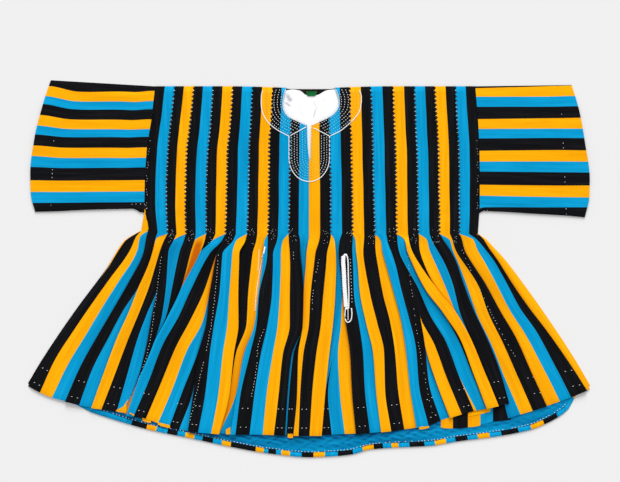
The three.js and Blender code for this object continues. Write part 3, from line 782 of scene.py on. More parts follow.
def body_front(side):
    """Half of the bodice's front, with its stripes folded over each other and toothed by the stitches."""
    columns = body_columns(side)
    rows = STITCHES * STITCH_ROWS
    up = np.linspace(1, 0, rows + 1)[:, None]
    nominal = lerp(WAIST_Y, SHOULDER_Y, up)
    edge = np.abs(body_edge(side, nominal))
    xs, rises = [], []
    phase = (np.arange(rows + 1) % STITCH_ROWS)[:, None]
    tooth = np.where(phase == 0, 1.0, np.where(phase == STITCH_ROWS // 2, -1.0, 0.0))
    for column in columns:
        start = np.abs(tuck_seam(side, column.tuck, nominal))
        end = edge if column.tuck == TUCKS else np.abs(tuck_seam(side, column.tuck + 1, nominal))
        straight = lerp(start, end, column.share) + column.shift
        x = straight + seam_waver(column.tuck, nominal) * (1 - column.share)
        inward = tooth * column.point * STITCH_POINT * (column.tuck > 0)
        xs.append(np.minimum(x - inward, edge))
        fall = 1 - column.share if column.tuck < TUCKS else 0
        rises.append(np.broadcast_to(TUCK_LIFT * column.stand * fall**TUCK_FALL, start.shape))
    out = np.concatenate(xs, axis=1)
    x = side * out
    rise = np.concatenate(rises, axis=1)
    y = lerp(WAIST_Y, shoulder_y(x), up)
    from_edge = np.minimum(edge - out, shoulder_y(x) - y)
    puff = BODY_PUFF * smooth(from_edge / BODY_PUFF_REACH) * smooth((y - WAIST_Y) / BODY_PUFF_REACH)
    swell = (0.5 * ripple(x, y, 60, 1) + creases(BODY_CREASES, x, y)) * smooth((y - WAIST_Y) / TUCK_WAVER_RUN)
    z = front_underside(from_edge) + CLOTH + puff + (rise + swell) * smooth(from_edge / EDGE_ROLL)
    z = z - edge_drop(from_edge)
    points = grid_of(x, y + waist_end_rise(x, y), z)
    kinds = []
    for a, b in zip(columns, columns[1:]):
        open_behind_lip = b.shift == TUCK_LIP and b.share == 0 and b.tuck
        kinds.append(-1 if open_behind_lip else a.stripe if b.share == COLOURED_SHARE else b.stripe)
    warp = grid_of(y, out + OTHER_CLOTH * (side > 0))
    kinds = np.tile(kinds, (rows, 1))
    if side < 0:
        strip = slice(-len(SIDE_STRIP_SHARES), None)
        beside_sleeve = nominal[1:] > UNDERARM_Y
        kinds[:, strip] = np.where(beside_sleeve, CLOTHS.index(ARMHOLE_STRIP), kinds[:, strip])
        points, warp, kinds = points[:, ::-1], warp[:, ::-1], kinds[:, ::-1]
    name = "body_front_left_striped" if side < 0 else "body_front_right_striped"
    piece = sheet_object(name, points, kinds, warp, STRIPE_MATERIALS)
    cut_neck(piece)
    return thicken(piece, CLOTH_SHOWN)


def bezier(points, steps=16):
    """Points along the curve of four corner points."""
    t = np.linspace(0, 1, steps + 1)[:, None]
    a, b, c, d = (np.array(p, float) for p in points)
    return a * (1 - t) ** 3 + 3 * b * t * (1 - t) ** 2 + 3 * c * t * t * (1 - t) + d * t**3


def neck_outline():
    """Neck hole and front slit, round from the left, open at the shoulder."""
    left = bezier(NECK_LEFT_CURVE)
    right = bezier(NECK_RIGHT_CURVE)[::-1]
    above = SHOULDER_Y + EDGE_ROLL
    return np.concatenate([[(NECK_LEFT, above)], left, SLIT, right, [(NECK_RIGHT, above)]])


def cut_neck(piece):
    """Cuts the neck hole and slit out of the cloth with a tall cutter."""
    outline = neck_outline()
    count = len(outline)
    low = [(x * MM, y * MM, NECK_CUTTER_FROM * MM) for x, y in outline]
    high = [(x * MM, y * MM, NECK_CUTTER_TO * MM) for x, y in outline]
    sides = [(i, (i + 1) % count, (i + 1) % count + count, i + count) for i in range(count)]
    mesh = bpy.data.meshes.new("neck_cutter")
    mesh.from_pydata(low + high, [], [tuple(reversed(range(count))), tuple(range(count, 2 * count)), *sides])
    with changing(mesh) as work:
        face_out(work)
    cutter = add_object("neck_cutter", mesh)
    cut = piece.modifiers.new("neck", "BOOLEAN")
    cut.operation = "DIFFERENCE"
    cut.solver = "FAST"
    cut.object = cutter
    apply_modifiers(piece)
    bpy.data.objects.remove(cutter)


# Back of the body

def back_top(x):
    """Upper edge of the back: the shoulder, with the back neck cut in."""
    left_in = smooth((x - (NECK_LEFT - BACK_NECK_REACH)) / (2 * BACK_NECK_REACH))
    right_in = smooth((NECK_RIGHT + BACK_NECK_REACH - x) / (2 * BACK_NECK_REACH))
    return lerp(shoulder_y(x), NECK_TOP_Y, left_in * right_in)


BACK_TUCK_STEPS = 9
BACK_TUCK_FALL = 1.4
BACK_ROWS = 120
BACK_LOWEST = 0.05
BACK_TUCK_RELIEF = 0.45
BACK_RIPPLE = 0.12
BACK_EDGE_RUN = 3


def body_back():
    """Striped back. Its underside has the same tucks, pressed flat on the table."""
    xs, kinds, folds = [], [], []
    for side in (-1, 1):
        cloth = RIGHT_TUCK_CLOTH if side < 0 else LEFT_TUCK_CLOTH
        half = []
        for tuck in range(TUCKS):
            for share in np.linspace(0, 1, BACK_TUCK_STEPS):
                half.append((tuck + share, (1 - share) ** BACK_TUCK_FALL))
        order = half[::-1] if side < 0 else half
        for place, fold in order:
            xs.append((side, place))
            folds.append(fold)
            tuck = min(int(place), TUCKS - 1)
            kinds.append(CLOTHS.index(cloth[tuck]) if place - tuck < COLOURED_SHARE else 0)
    up = np.linspace(1, 0, BACK_ROWS)[:, None]
    nominal = lerp(WAIST_Y, SHOULDER_Y, up)
    across = [side * np.abs(body_edge(side, nominal)) * place / TUCKS for side, place in xs]
    x = np.concatenate(across, axis=1)
    y = lerp(WAIST_Y, back_top(x), up)
    fold = np.array(folds)[None, :]
    height = SHOULDER_Y - WAIST_Y
    low = BACK_LOWEST + BACK_TUCK_RELIEF * (1 - fold) + BACK_RIPPLE * ripple(x, y, 40, 3)
    from_ends = smooth(up * height / BACK_EDGE_RUN) * smooth((1 - up) * height / BACK_EDGE_RUN)
    low = np.clip(low, 0.0, 0.8) * from_ends
    warp = grid_of(y, x + 2 * OTHER_CLOTH)
    materials = [*STRIPE_MATERIALS, PAINTED_NECK_SHADE]
    piece = closed_sheet("body_back_striped", x, y, BACK_SHOWN, low, kinds[:-1], warp, materials)
    # Faces on top behind the neck hole take the near-black painted shade
    for face in piece.data.polygons:
        place = face.center / MM
        behind_neck = NECK_LEFT - BACK_BAND_BESIDE < place.x < NECK_RIGHT + BACK_BAND_BESIDE
        if face.normal.z > 0.5 and behind_neck and place.y > BACK_BAND_Y:
            face.material_index = len(STRIPE_MATERIALS)
    return piece


def closed_sheet(name, x, y, top, low, kinds, warp, materials):
    """Sheet with its own upper and lower surface, closed round its edges."""
    upper = grid_of(x, y, top)
    under = grid_of(x, y, low)
    ring = np.concatenate([upper, under[:, ::-1]], axis=1)
    ring_warp = np.concatenate([warp, warp[:, ::-1]], axis=1)
    kinds = list(kinds)
    around = kinds + [kinds[-1]] + kinds[::-1] + [kinds[0]]
    piece = sheet_object(name, ring, around, ring_warp, materials, loop=True)
    with changing(piece.data) as work:
        rim = [edge for edge in work.edges if edge.is_boundary]
        bmesh.ops.holes_fill(work, edges=rim, sides=0)
        bmesh.ops.triangulate(work, faces=[face for face in work.faces if len(face.verts) > 4])
        face_out(work)
    return piece


# Sleeves

SLEEVE_CREASES = {
    -1: (
        Crease((-400, 420), (-560, 430), 1.0, 12, 6),
        Crease((-390, 330), (-600, 300), 1.3, 14, -12),
        Crease((-420, 230), (-640, 262), -1.0, 16, 10),
        Crease((-410, 170), (-560, 175), 1.0, 12, 5),
        Crease((-560, 420), (-640, 330), 0.9, 14),
    ),
    1: (
        Crease((430, 400), (600, 410), 1.0, 12, 5),
        Crease((425, 300), (640, 330), 1.2, 14, 9),
        Crease((430, 220), (620, 205), -1.0, 16, 8),
        Crease((430, 170), (560, 160), 1.0, 12, 5),
        Crease((560, 390), (660, 300), 0.8, 14),
    ),
}

# How far the sleeve sags in its outer part, from its upper fold down, and where along the arm the sag starts
# and ends
SLEEVE_SAG = {
    -1: (
        (0, 0), (0.04, 10.5), (0.12, 9.3), (0.18, 9.3), (0.26, 8), (0.41, 5), (0.58, 3.7), (0.76, 1), (1, 0),
    ),
    1: ((0, 0), (0.05, 1.2), (0.5, -0.8), (0.8, 0.5), (1, 0)),
}

SAG = {"armhole_run": 0.2, "cuff_run": 0.28, "inner_share": 0.5, "outer_from": 0.25, "outer_run": 0.45}

# How far the sleeve's lower edge stands above a straight line, from the armhole to the cuff
UNDERARM_RISE = {
    -1: ((0, -6), (0.04, -4.3), (0.075, 1.5), (0.115, 4.1), (0.53, 3.1), (0.85, 0.4), (1, 0)),
    1: ((0, -6), (0.023, -2.6), (0.055, -1.2), (0.24, -0.6), (0.51, -1.2), (0.81, -1.6), (1, -3.4)),
}
UNDERARM_RISE_FROM = 0.93
SLEEVE_COLUMNS = 90
STRIPE_STEPS = (0, 0.25, 0.5, 0.75)
LOWER_EDGE_STEPS = (0.88, 0.94, 0.97, 0.988)
SLEEVE_LENGTH = 290
SLEEVE_DEPTH = 305
SLEEVE_PUFF = 1.4
SLEEVE_PUFF_SPAN = (0.15, 0.9)
UPPER_FOLD = 0.35
LOWER_FOLD = 0.12
LOWER_FOLD_FROM = 0.75
LOWER_FOLD_RUN = 0.2
SLEEVE_RIM = 0.06
CUFF_SEAM = {"depth": 0.5, "from_cuff": 50, "width": 3.0}


def sleeve_sag(side, along, down):
    """How far the cloth sags there, none at the armhole and the cuff."""
    part = lerp(SAG["inner_share"], 1, smooth((along - SAG["outer_from"]) / SAG["outer_run"]))
    outer = smooth((1 - along) / SAG["cuff_run"]) * part * smooth(along / SAG["armhole_run"])
    return along_table(SLEEVE_SAG[side], down) * outer


def sleeve_height(along, down):
    """Height of the upper face, which closes in a soft fold above and a steep one below."""
    height = FRONT_UNDERSIDE + CLOTH + SLEEVE_PUFF * np.sin(math.pi * lerp(*SLEEVE_PUFF_SPAN, along))
    sharpness = lerp(UPPER_FOLD, LOWER_FOLD, smooth((down - LOWER_FOLD_FROM) / LOWER_FOLD_RUN))
    return height * np.clip(np.sin(math.pi * down), 0, 1) ** sharpness


def there_and_back(over, under):
    """Closed ring of columns, over the sleeve and back below it without the two end columns."""
    return np.concatenate([over, under[:, ::-1][:, 1:-1]], axis=1)


def sleeve(side):
    """Flattened tube with its stripes along the arm. Its upper and under face meet in soft folds."""
    cuff = LEFT_CUFF if side < 0 else RIGHT_CUFF
    table = LEFT_SLEEVE_AT if side < 0 else RIGHT_SLEEVE_AT
    armhole = np.array(table["armhole"]) / table["armhole"][-1]
    cuffs = np.array(table["cuff"]) / table["cuff"][-1]
    along = np.linspace(0, 1, SLEEVE_COLUMNS)[:, None]
    bounds = lerp(armhole[None, :], cuffs[None, :], along)
    downs, kinds = [], []
    for stripe, cloth in enumerate(SLEEVE_STRIPES):
        last = stripe == len(SLEEVE_STRIPES) - 1
        for step in STRIPE_STEPS + LOWER_EDGE_STEPS if last else STRIPE_STEPS:
            downs.append(lerp(bounds[:, stripe:stripe + 1], bounds[:, stripe + 1:stripe + 2], step))
            kinds.append(CLOTHS.index(cloth))
    down = np.concatenate([*downs, np.ones_like(along)], axis=1)
    cuff_bottom, cuff_top = cuff[0][0], cuff[-1][0]
    top = lerp(SHOULDER_Y, cuff_top, along)
    bottom = lerp(UNDERARM_Y, cuff_bottom, along)
    arm_x = body_edge(side, lerp(SHOULDER_Y, UNDERARM_Y, down)) + side * SEAM_GAP
    cuff_x = along_table(cuff, lerp(cuff_top, cuff_bottom, down))
    x = lerp(arm_x, cuff_x, along)
    at_lower_edge = smooth((down - UNDERARM_RISE_FROM) / (1 - UNDERARM_RISE_FROM))
    y = lerp(top, bottom, down) - sleeve_sag(side, along, down)
    y = y + along_table(UNDERARM_RISE[side], along) * at_lower_edge
    inside = smooth(np.minimum(down, 1 - down) / SLEEVE_RIM)
    swell = (0.5 * ripple(x, y, 45, 5 + side) + creases(SLEEVE_CREASES[side], x, y)) * inside
    from_seam = (1 - along) * SLEEVE_LENGTH - CUFF_SEAM["from_cuff"]
    seam = -CUFF_SEAM["depth"] * np.exp(-((from_seam / CUFF_SEAM["width"]) ** 2)) * inside
    over = grid_of(x, y, sleeve_height(along, down) + swell + seam)
    under = grid_of(x, y, 0.15 + 0.35 * smooth(ripple(x, y, 50, 8) + 0.2) * inside)
    depth = down * SLEEVE_DEPTH
    warp = there_and_back(grid_of(np.abs(x), depth), grid_of(np.abs(x), depth + OTHER_CLOTH))
    name = "sleeve_left_striped" if side < 0 else "sleeve_right_striped"
    ring = there_and_back(over, under)
    piece = sheet_object(name, ring, kinds + kinds[::-1], warp, STRIPE_MATERIALS, loop=True)
    with changing(piece.data) as work:
        face_out(work)
    return thicken(piece, CLOTH_SHOWN)


# Front of the skirt

def waist_widths():
    """Width at the waist of each front stripe, carried on from the body above."""
    left, right = waist_seams(-1), waist_seams(1)
    bounds = [SKIRT_WAIST[0]]
    for tuck in reversed(range(TUCKS)):
        bounds += [-left[tuck + 1], -lerp(left[tuck], left[tuck + 1], COLOURED_SHARE)]
    bounds.append(0)
    for tuck in range(TUCKS):
        bounds += [lerp(right[tuck], right[tuck + 1], COLOURED_SHARE), right[tuck + 1]]
    widths = iter(np.diff(bounds))
    return [next(widths) if stripe.at_waist else 0 for stripe in SKIRT_STRIPES]


def waist_end_rise(x, y):
    """How much the waist seam lies higher at its left end."""
    beside = smooth((-x - WAIST_END["from"]) / WAIST_END["run"])
    return WAIST_END["rise"] * beside * np.exp(-(((y - WAIST_Y) / WAIST_END["reach"]) ** 2))


SIDE_BLEND = 0.02


def stripe_places(down):
    """Share of the skirt's width where each front stripe starts, and its own share, at each level."""
    below = [[stripe.shows[i] for stripe in SKIRT_STRIPES] for i in range(len(SKIRT_LEVELS) - 1)]
    shown = [waist_widths(), *below]
    levels = np.array(SKIRT_LEVELS)
    share = np.array([np.concatenate([[0], np.cumsum(level)]) / sum(level) for level in shown])
    left, right = skirt_sides(levels)
    place = lerp(left[:, None], right[:, None], share)
    place = np.insert(place, 1, just_below_waist(place[0], place[1]), axis=0)
    line = curve_through(np.insert(levels, 1, FOLDS_TURN), place, down)
    left, right = skirt_sides(down)
    start = (line - line[:, :1]) / (line[:, -1:] - line[:, :1])
    drift = (line[:, 0] - left) / (right - left)
    start = np.clip(start + drift[:, None] * (1 - start) * smooth(start / SIDE_BLEND), 0, 1)
    start = np.maximum.accumulate(start, axis=1)
    return start, np.diff(start, axis=1)


def swinging_stripes(stripes):
    """For each stripe in turn, whether it is the first that comes out of a fold below the waist."""
    swings, opened = [], True
    for stripe in stripes:
        opened = opened and not stripe.at_waist
        swings.append(not stripe.at_waist and not opened)
        opened = opened or bool(swings[-1] and stripe.shows[0])
    return swings


def just_below_waist(waist, level):
    """Places of the stripes' edges where their folds have turned, between the waist and the next level.
    A stripe that comes out of its fold there swings its outer edge out quickly, and the rest follow."""
    sides = skirt_sides(np.array([0, FOLDS_TURN, SKIRT_LEVELS[1]]))[0]
    followed = (sides[1] - sides[0]) / (sides[2] - sides[0])
    slow = lerp(FOLDS_FOLLOW, followed, smooth((np.abs(waist) - FOLLOW_MORE["from"]) / FOLLOW_MORE["run"]))
    left_swings = swinging_stripes(SKIRT_STRIPES) + [False]
    right_swings = [False] + swinging_stripes(SKIRT_STRIPES[::-1])[::-1]
    left_half = lerp(waist, level, np.where(left_swings, FOLDS_SWING, slow))
    right_half = lerp(waist, level, np.where(right_swings, FOLDS_SWING, slow))
    left_half = np.maximum.accumulate(left_half)
    right_half = np.minimum.accumulate(right_half[::-1])[::-1]
    return np.where(waist < 0, left_half, right_half)


SkirtColumn = namedtuple("SkirtColumn", "stripe share shift stand lap", defaults=(None,))

# A folded edge rolls under: each of its columns as (shift inwards, share of the fold's height)
LAP_ROLL = ((LAP_TUCK, 0.04), (0.3, 0.5), (0, 0.8), (1.2, 0.95), (3, 1))


def skirt_columns():
    """Columns over the front skirt's stripes, with extra ones round each folded edge."""
    columns = []
    last = len(SKIRT_STRIPES) - 1
    for i, stripe in enumerate(SKIRT_STRIPES):
        covered_left = i > 0 and SKIRT_STRIPES[i - 1].right_lap > 0
        covered_right = i < last and SKIRT_STRIPES[i + 1].left_lap > 0
        if stripe.left_lap:
            columns += [SkirtColumn(i, 0, shift, stand, "left") for shift, stand in LAP_ROLL]
        else:
            if covered_left:
                columns.append(SkirtColumn(i, 0, -LAP_TUCK, 1))
            columns.append(SkirtColumn(i, 0, 0, 1))
        columns += [SkirtColumn(i, share, 0, 1) for share in (0.25, 0.5, 0.75)]
        if stripe.right_lap:
            columns += [SkirtColumn(i, 1, -shift, stand, "right") for shift, stand in reversed(LAP_ROLL)]
        else:
            columns.append(SkirtColumn(i, 1, 0, 1))
            if covered_right:
                columns.append(SkirtColumn(i, 1, LAP_TUCK, 1))
    return columns


SKIRT_CREASES = (
    Crease((-385, 70), (-520, -120), 2.0, 14, 10),
    Crease((-300, 60), (-400, -160), 1.6, 12, -8),
    Crease((-120, 60), (-170, -200), 1.4, 12, 6),
    Crease((30, 60), (20, -180), 1.6, 12, 5),
    Crease((180, 60), (250, -150), 1.5, 12, -6),
    Crease((330, 60), (430, -120), 2.0, 14, 8),
    Crease((395, 60), (520, -120), 1.6, 12, 8),
    Crease((-480, -200), (-560, -300), 1.4, 20),
    Crease((450, -180), (560, -300), 1.6, 20),
)


def body_rise(x):
    """Height of the body's tucks where they end at the waist."""
    count = np.arange(TUCKS + 1)
    across = np.where(x < 0, np.interp(-x, waist_seams(-1), count), np.interp(x, waist_seams(1), count))
    fall = 1 - (across - np.floor(across))
    return TUCK_LIFT * fall**TUCK_FALL * (across < TUCKS)


def column_shares(columns, start, width, level_width):
    """Share of the skirt's width where each column stands at each level. A shift shrinks where the stripe
    that it runs over is narrow."""
    shares = []
    for column in columns:
        onto = column.stripe
        if column.shift > 0 and column.lap != "left":
            onto += 1
        elif column.shift < 0 and column.lap != "right":
            onto -= 1
        room = np.clip(width[:, onto] * level_width / LAP_ROOM, 0, 1)
        place = start[:, column.stripe] + column.share * width[:, column.stripe]
        shares.append(place + column.shift * room / level_width)
    return np.clip(np.stack(shares, axis=1), 0, 1)


def laps():
    """Each folded edge: its stripe, its height, the edge's number and which way its cloth lies."""
    for i, stripe in enumerate(SKIRT_STRIPES):
        if stripe.left_lap:
            yield i, stripe.left_lap, i, 1
        if stripe.right_lap:
            yield i, stripe.right_lap, i + 1, -1


def fold_relief(columns, down, across, start, width, level_width):
    """Height of the folds at each point, and how much painted shade it gets from their shadow."""
    stripe_of = np.array([column.stripe for column in columns])
    shade = np.array([SKIRT_STRIPES[stripe].shade for stripe in stripe_of])
    shadow = lerp(shade[None, :, 0], shade[None, :, 1], down[:, None])
    relief = np.zeros_like(across)
    reach = lerp(FOLD_REACH["waist"], FOLD_REACH["hem"], down)
    released = lerp(GATHERED_SHARE, 1, smooth(down / GATHER_DOWN)) * lerp(1, HEM_LIFT_SHARE, down)
    for i, lap, boundary, sign in laps():
        edge = (start[:, boundary] * level_width)[:, None]
        seen = np.clip(width[:, i] * level_width / LAP_SEEN, 0, 1)
        lift = (FOLD_HEIGHT * lap * released * seen)[:, None]
        fall = np.clip(1 - sign * (across - edge) / reach[:, None], 0, 1) ** FOLD_FALL
        over = stripe_of >= i if sign > 0 else stripe_of <= i
        own_lap = "left" if sign > 0 else "right"
        own = np.array([c.stand if c.stripe == i and c.lap == own_lap else 1 for c in columns])
        relief += lift * fall * over[None, :] * own[None, :]
        beyond = np.exp(-np.clip(sign * (edge - across), 0, None) / SHADOW_REACH) * ~over
        depth = np.clip(lift / SHADOW_LAP, 0, 1)
        shadow = np.maximum(shadow, depth * np.maximum(beyond, SHADOW_IN_LAP * (1 - own)))
    return TALLEST_FOLD * np.tanh(relief / TALLEST_FOLD), shadow


def even_where_merged(shadow, points):
    """Gives points that come together in one place the least painted shade among them."""
    together = np.linalg.norm(np.diff(points, axis=1), axis=2) < MERGED
    pairs = range(1, points.shape[1])
    for order in (pairs, reversed(pairs)):
        for c in order:
            least = np.minimum(shadow[:, c - 1], shadow[:, c])
            merged = together[:, c - 1]
            shadow[merged, c - 1] = least[merged]
            shadow[merged, c] = least[merged]


# Rows of the front skirt's grid: close together near the waist, then even, then close to the hem
NEAR_WAIST = 0.12
NEAR_WAIST_ROWS = 13
ROWS_BELOW = 60
HEM_ROWS = (0.994, 1.0)
SKIRT_EDGE_RUN = 12
STRIPE_MAP = {"pitch": 31, "width": 29}


def skirt_front():
    """Front of the skirt: stripes that come out of the tucks' folds and lap over each other."""
    near_waist = np.linspace(0, NEAR_WAIST, NEAR_WAIST_ROWS)
    below = np.linspace(NEAR_WAIST, HEM_CURL_FROM, ROWS_BELOW)[1:]
    down = np.concatenate([near_waist, below, HEM_ROWS])
    start, width = stripe_places(down)
    columns = skirt_columns()
    stripe_of = np.array([column.stripe for column in columns])
    left_side, right_side = skirt_sides(down)
    level_width = right_side - left_side
    share = column_shares(columns, start, width, level_width)
    across = share * level_width[:, None]
    relief, shadow = fold_relief(columns, down, across, start, width, level_width)
    level = down[:, None]
    x, y = skirt_place(share, level, FRONT_HEM)
    y = np.where(stripe_of >= FIRST_RIGHT_STRIPE, skirt_place(share, level, FRONT_HEM_RIGHT)[1], y)
    from_edge = np.minimum(across, level_width[:, None] - across)
    swell = 0.6 * ripple(x, y, 55, 2) + creases(SKIRT_CREASES, x, y)
    opened = smooth(level / FOLDS_OPEN)
    relief = lerp(body_rise(x), relief, opened)
    raised = (relief + swell * smooth(level / GATHER_DOWN)) * smooth(from_edge / SKIRT_EDGE_RUN)
    z = front_underside(from_edge) + CLOTH + raised - edge_drop(from_edge)
    z = z - HEM_CURL * smooth((level - HEM_CURL_FROM) / (1 - HEM_CURL_FROM))
    y = y - HEM_SAG * relief * smooth((level - HEM_SAG_FROM) / (1 - HEM_SAG_FROM))
    points = grid_of(x, y + waist_end_rise(x, y), z)
    kinds = [CLOTHS.index(SKIRT_STRIPES[a.stripe].cloth) if a.stripe == b.stripe else -1
             for a, b in zip(columns, columns[1:])]
    in_stripe = np.array([column.share for column in columns])
    mapped = STRIPE_MAP["pitch"] * stripe_of + STRIPE_MAP["width"] * in_stripe
    warp = grid_of((WAIST_Y - FRONT_HEM_LOW) * level, mapped[None, :] + 3 * OTHER_CLOTH)
    # Painted shade from the folds, with a slow uneven darkening over the skirt
    uneven = 0.3 * np.clip(ripple(1.3 * x, 0.3 * y, 24, 11), 0, 1)
    shadow = np.maximum(shadow, uneven) * opened
    even_where_merged(shadow, points)
    piece = sheet_object("skirt_front_striped", points, kinds, warp, STRIPE_MATERIALS, painted_shade_and_mottle=shadow)
    tree = BVHTree.FromObject(piece, bpy.context.evaluated_depsgraph_get())
    for hem_piece in HEM_PIECES:
        join(piece, under_fold(hem_piece, tree))
    return thicken(piece, CLOTH_SHOWN)


HemPiece = namedtuple("HemPiece", "cloth left right top_left top_right bottom_left bottom_right height shade")

# Corners in pixels of the photograph, height and painted shade as for the stripes
HEM_PIECES = (
    HemPiece("Y", 441, 453, 415, 410, 427.6, 428.3, 3.6, 0.4),
    HemPiece("K", 453, 468, 410, 406, 428.3, 427.4, 3.6, 0),
    HemPiece("Y", 468, 480.5, 406, 402, 427.2, 425.5, 3.6, 0.7),
    HemPiece("B", 480.5, 493, 402, 400, 424.6, 421.4, 3.6, 0.5),
    HemPiece("K", 493, 511, 400, 400, 421.4, 419.5, 3.6, 0),
    HemPiece("Y", 468.5, 490.5, 412.5, 408.0, 416.2, 411.6, 4.4, 0),
    HemPiece("Y", 116, 126.5, 410.3, 405, 411.2, 412.6, None, 0),
    HemPiece("Y", 122.4, 128.3, 407.5, 399.3, 411.4, 400.6, None, 0),
    HemPiece("Y", 130, 134.6, 412.0, 414.4, 413.0, 415.6, None, 0),
    HemPiece("Y", 142.5, 151, 418, 420, 420.6, 422.8, None, 0.3),
    HemPiece("Y", 158, 170, 422.2, 425.2, 424.6, 428.0, None, 0),
    HemPiece("Y", 226, 230.4, 429.5, 427, 434, 433.8, None, 0.4),
    HemPiece("Y", 287.7, 293, 433.8, 433.8, 437.3, 437.8, None, 0.5),
    HemPiece("Y", 419, 429, 427.2, 426.0, 429.3, 427.6, None, 0),
)
TURNED_UP_OVER = 1.3
HEM_PIECE_STEPS = 9


def under_fold(part, cloth):
    """Cloth that shows at the front hem, from a lower fold, or turned up over the hem where it has no
    height of its own. Its corners are places on the photograph."""
    across = np.linspace(0, 1, HEM_PIECE_STEPS)[None, :]
    down = np.linspace(0, 1, HEM_PIECE_STEPS)[:, None]
    px = lerp(part.left, part.right, across) + 0 * down
    top = lerp(part.top_left, part.top_right, across)
    bottom = lerp(part.bottom_left, part.bottom_right, across) + 0.5 * np.sin(math.pi * across)
    x, y = photo_place(px, lerp(top, bottom, down))
    if part.height is None:
        z = np.full(x.shape, FRONT_UNDERSIDE + CLOTH)
        for place in np.ndindex(x.shape):
            hit = cloth.ray_cast((x[place] * MM, y[place] * MM, RAY_FROM), (0, 0, -1))[0]
            z[place] = (hit.z / MM if hit else z[place]) + TURNED_UP_OVER
        z = np.maximum.accumulate(z[::-1])[::-1]
    else:
        z = part.height + 0.3 * np.sin(2 * across + part.left) + 0 * down
    points = grid_of(x, y, z)
    warp = grid_of(y, x)
    # Painted shade, lighter towards the piece's lower edge
    painted_shade_and_mottle = part.shade * (1 - 0.6 * down) + 0 * across
    kind = CLOTHS.index(part.cloth)
    return sheet_object("under_fold", points, kind, warp, STRIPE_MATERIALS, painted_shade_and_mottle=painted_shade_and_mottle)


# Back of the skirt and its hem

# Each stripe's first place across along the hem, and its cloth
BACK_STRIPES = (
    (-689, "K"), (-660, "Y"), (-632, "B"), (-604, "K"), (-580, "B"), (-436, "K"), (-399, "Y"), (-375, "B"),
    (-348, "K"), (-323, "B"), (-304, "Y"), (-282, "B"), (-262, "K"), (-236, "B"), (-214, "Y"), (-192, "K"),
    (-131, "Y"), (-111, "B"), (-100, "K"), (-81, "B"), (-68, "Y"), (-47, "B"), (-18, "K"), (11, "Y"),
    (39, "B"), (71, "K"), (108, "B"), (132, "Y"), (159, "K"), (182, "B"), (203, "Y"), (220, "B"),
    (247, "K"), (284, "B"), (310, "Y"), (337, "B"), (360, "K"), (390, "B"), (415, "Y"), (444, "B"),
    (473, "K"), (515, "B"), (546, "Y"), (577, "K"), (610, "B"), (650, "Y"),
)


BACK_STRIPE_STEPS = 3
BACK_HEIGHT = 0.72
BACK_LEVELS = np.linspace(0.97, 0.03, 40)
BACK_FOLD_LIFT = 0.35

# Round the turned-up edge, from the table side up: (distance above the hem line, height)
HEM_UNDER = ((6, BACK_HEIGHT), (2, BACK_HEIGHT), (0.75, 0.76))
HEM_ROUND = ((0.1, 1.05), (0.1, 1.7))
HEM_OVER = ((0.9, 2.2), (4, 2.25), (TURN_UP - 0.5, 2.2), (TURN_UP, 1.9))
NOT_TURNED = 0.75
FACING_LOW = 11.5
FACING_COLUMNS = 360
FACING_ROWS = 30
FACING_CLOTH = 0.7


def blotchiness(x):
    """How blotchy the inside of the hem is at a place across, from 1 at its left to 0."""
    return smooth((FACING_BLOTCHY[1] - x) / (FACING_BLOTCHY[1] - FACING_BLOTCHY[0]))


def skirt_back():
    """Back of the skirt, lying flat, with its hem turned up over the facing."""
    starts, cloths = zip(*BACK_STRIPES)
    ends = [*starts[1:], SKIRT_HEM[1]]
    steps = range(BACK_STRIPE_STEPS)
    hem = [lerp(start, end, step / BACK_STRIPE_STEPS) for start, end in zip(starts, ends) for step in steps]
    hem = np.array([*hem, SKIRT_HEM[1]])[None, :]
    kinds = [CLOTHS.index(cloth) for cloth in cloths for step in steps]
    share, depth = back_hem_run(hem)
    turned = smooth((hem - FACING[0]) / FACING_END_RUN) * smooth((FACING[1] - hem) / FACING_END_RUN)
    points, lengths = [], []
    for above in (1, *BACK_LEVELS):
        down = np.full_like(share, 1 - above)
        x, y = skirt_place(share, down, BACK_HEM)
        fold = BACK_FOLD_LIFT * np.clip(ripple(x * 3.1, y * 0.3, 40, 4), -1, 1) * smooth(down / 0.1)
        lift = BACK_HEIGHT + np.clip(fold, 0, None) * smooth((1 - down) / 0.2)
        points.append(grid_of(x, y, lift))
        lengths.append(down * depth)
    for above, height in HEM_UNDER + HEM_ROUND + HEM_OVER:
        over = (above, height) in HEM_OVER
        place = above
        if over:
            wave = 1 + 0.12 * np.sin(hem / 13) * (above > 3)
            place = np.where(turned > 0.02, above * wave, np.minimum(above, NOT_TURNED))
        raised = height if (above, height) in HEM_UNDER else lerp(BACK_HEIGHT, height, turned)
        x, y = skirt_place(share, 1 - place / depth, BACK_HEM)
        points.append(grid_of(x, y, raised))
        lengths.append(depth + (above if over else -above) + 0 * x)
    grid = np.concatenate(points, axis=0)
    warp = grid_of(np.concatenate(lengths, axis=0), hem + 4 * OTHER_CLOTH)
    x, y = grid[..., 0], grid[..., 1]
    # Blotchy darkening towards the left, through the same tint as the painted shade
    shade = blotchiness(x) * np.clip(0.5 + 0.5 * ripple(1.2 * x, 3 * y, 9, 12), 0, 1)
    piece = sheet_object("skirt_back_striped", grid, kinds, warp, STRIPE_MATERIALS, painted_shade_and_mottle=shade)
    return thicken(piece, BACK_SHOWN, offset=0)


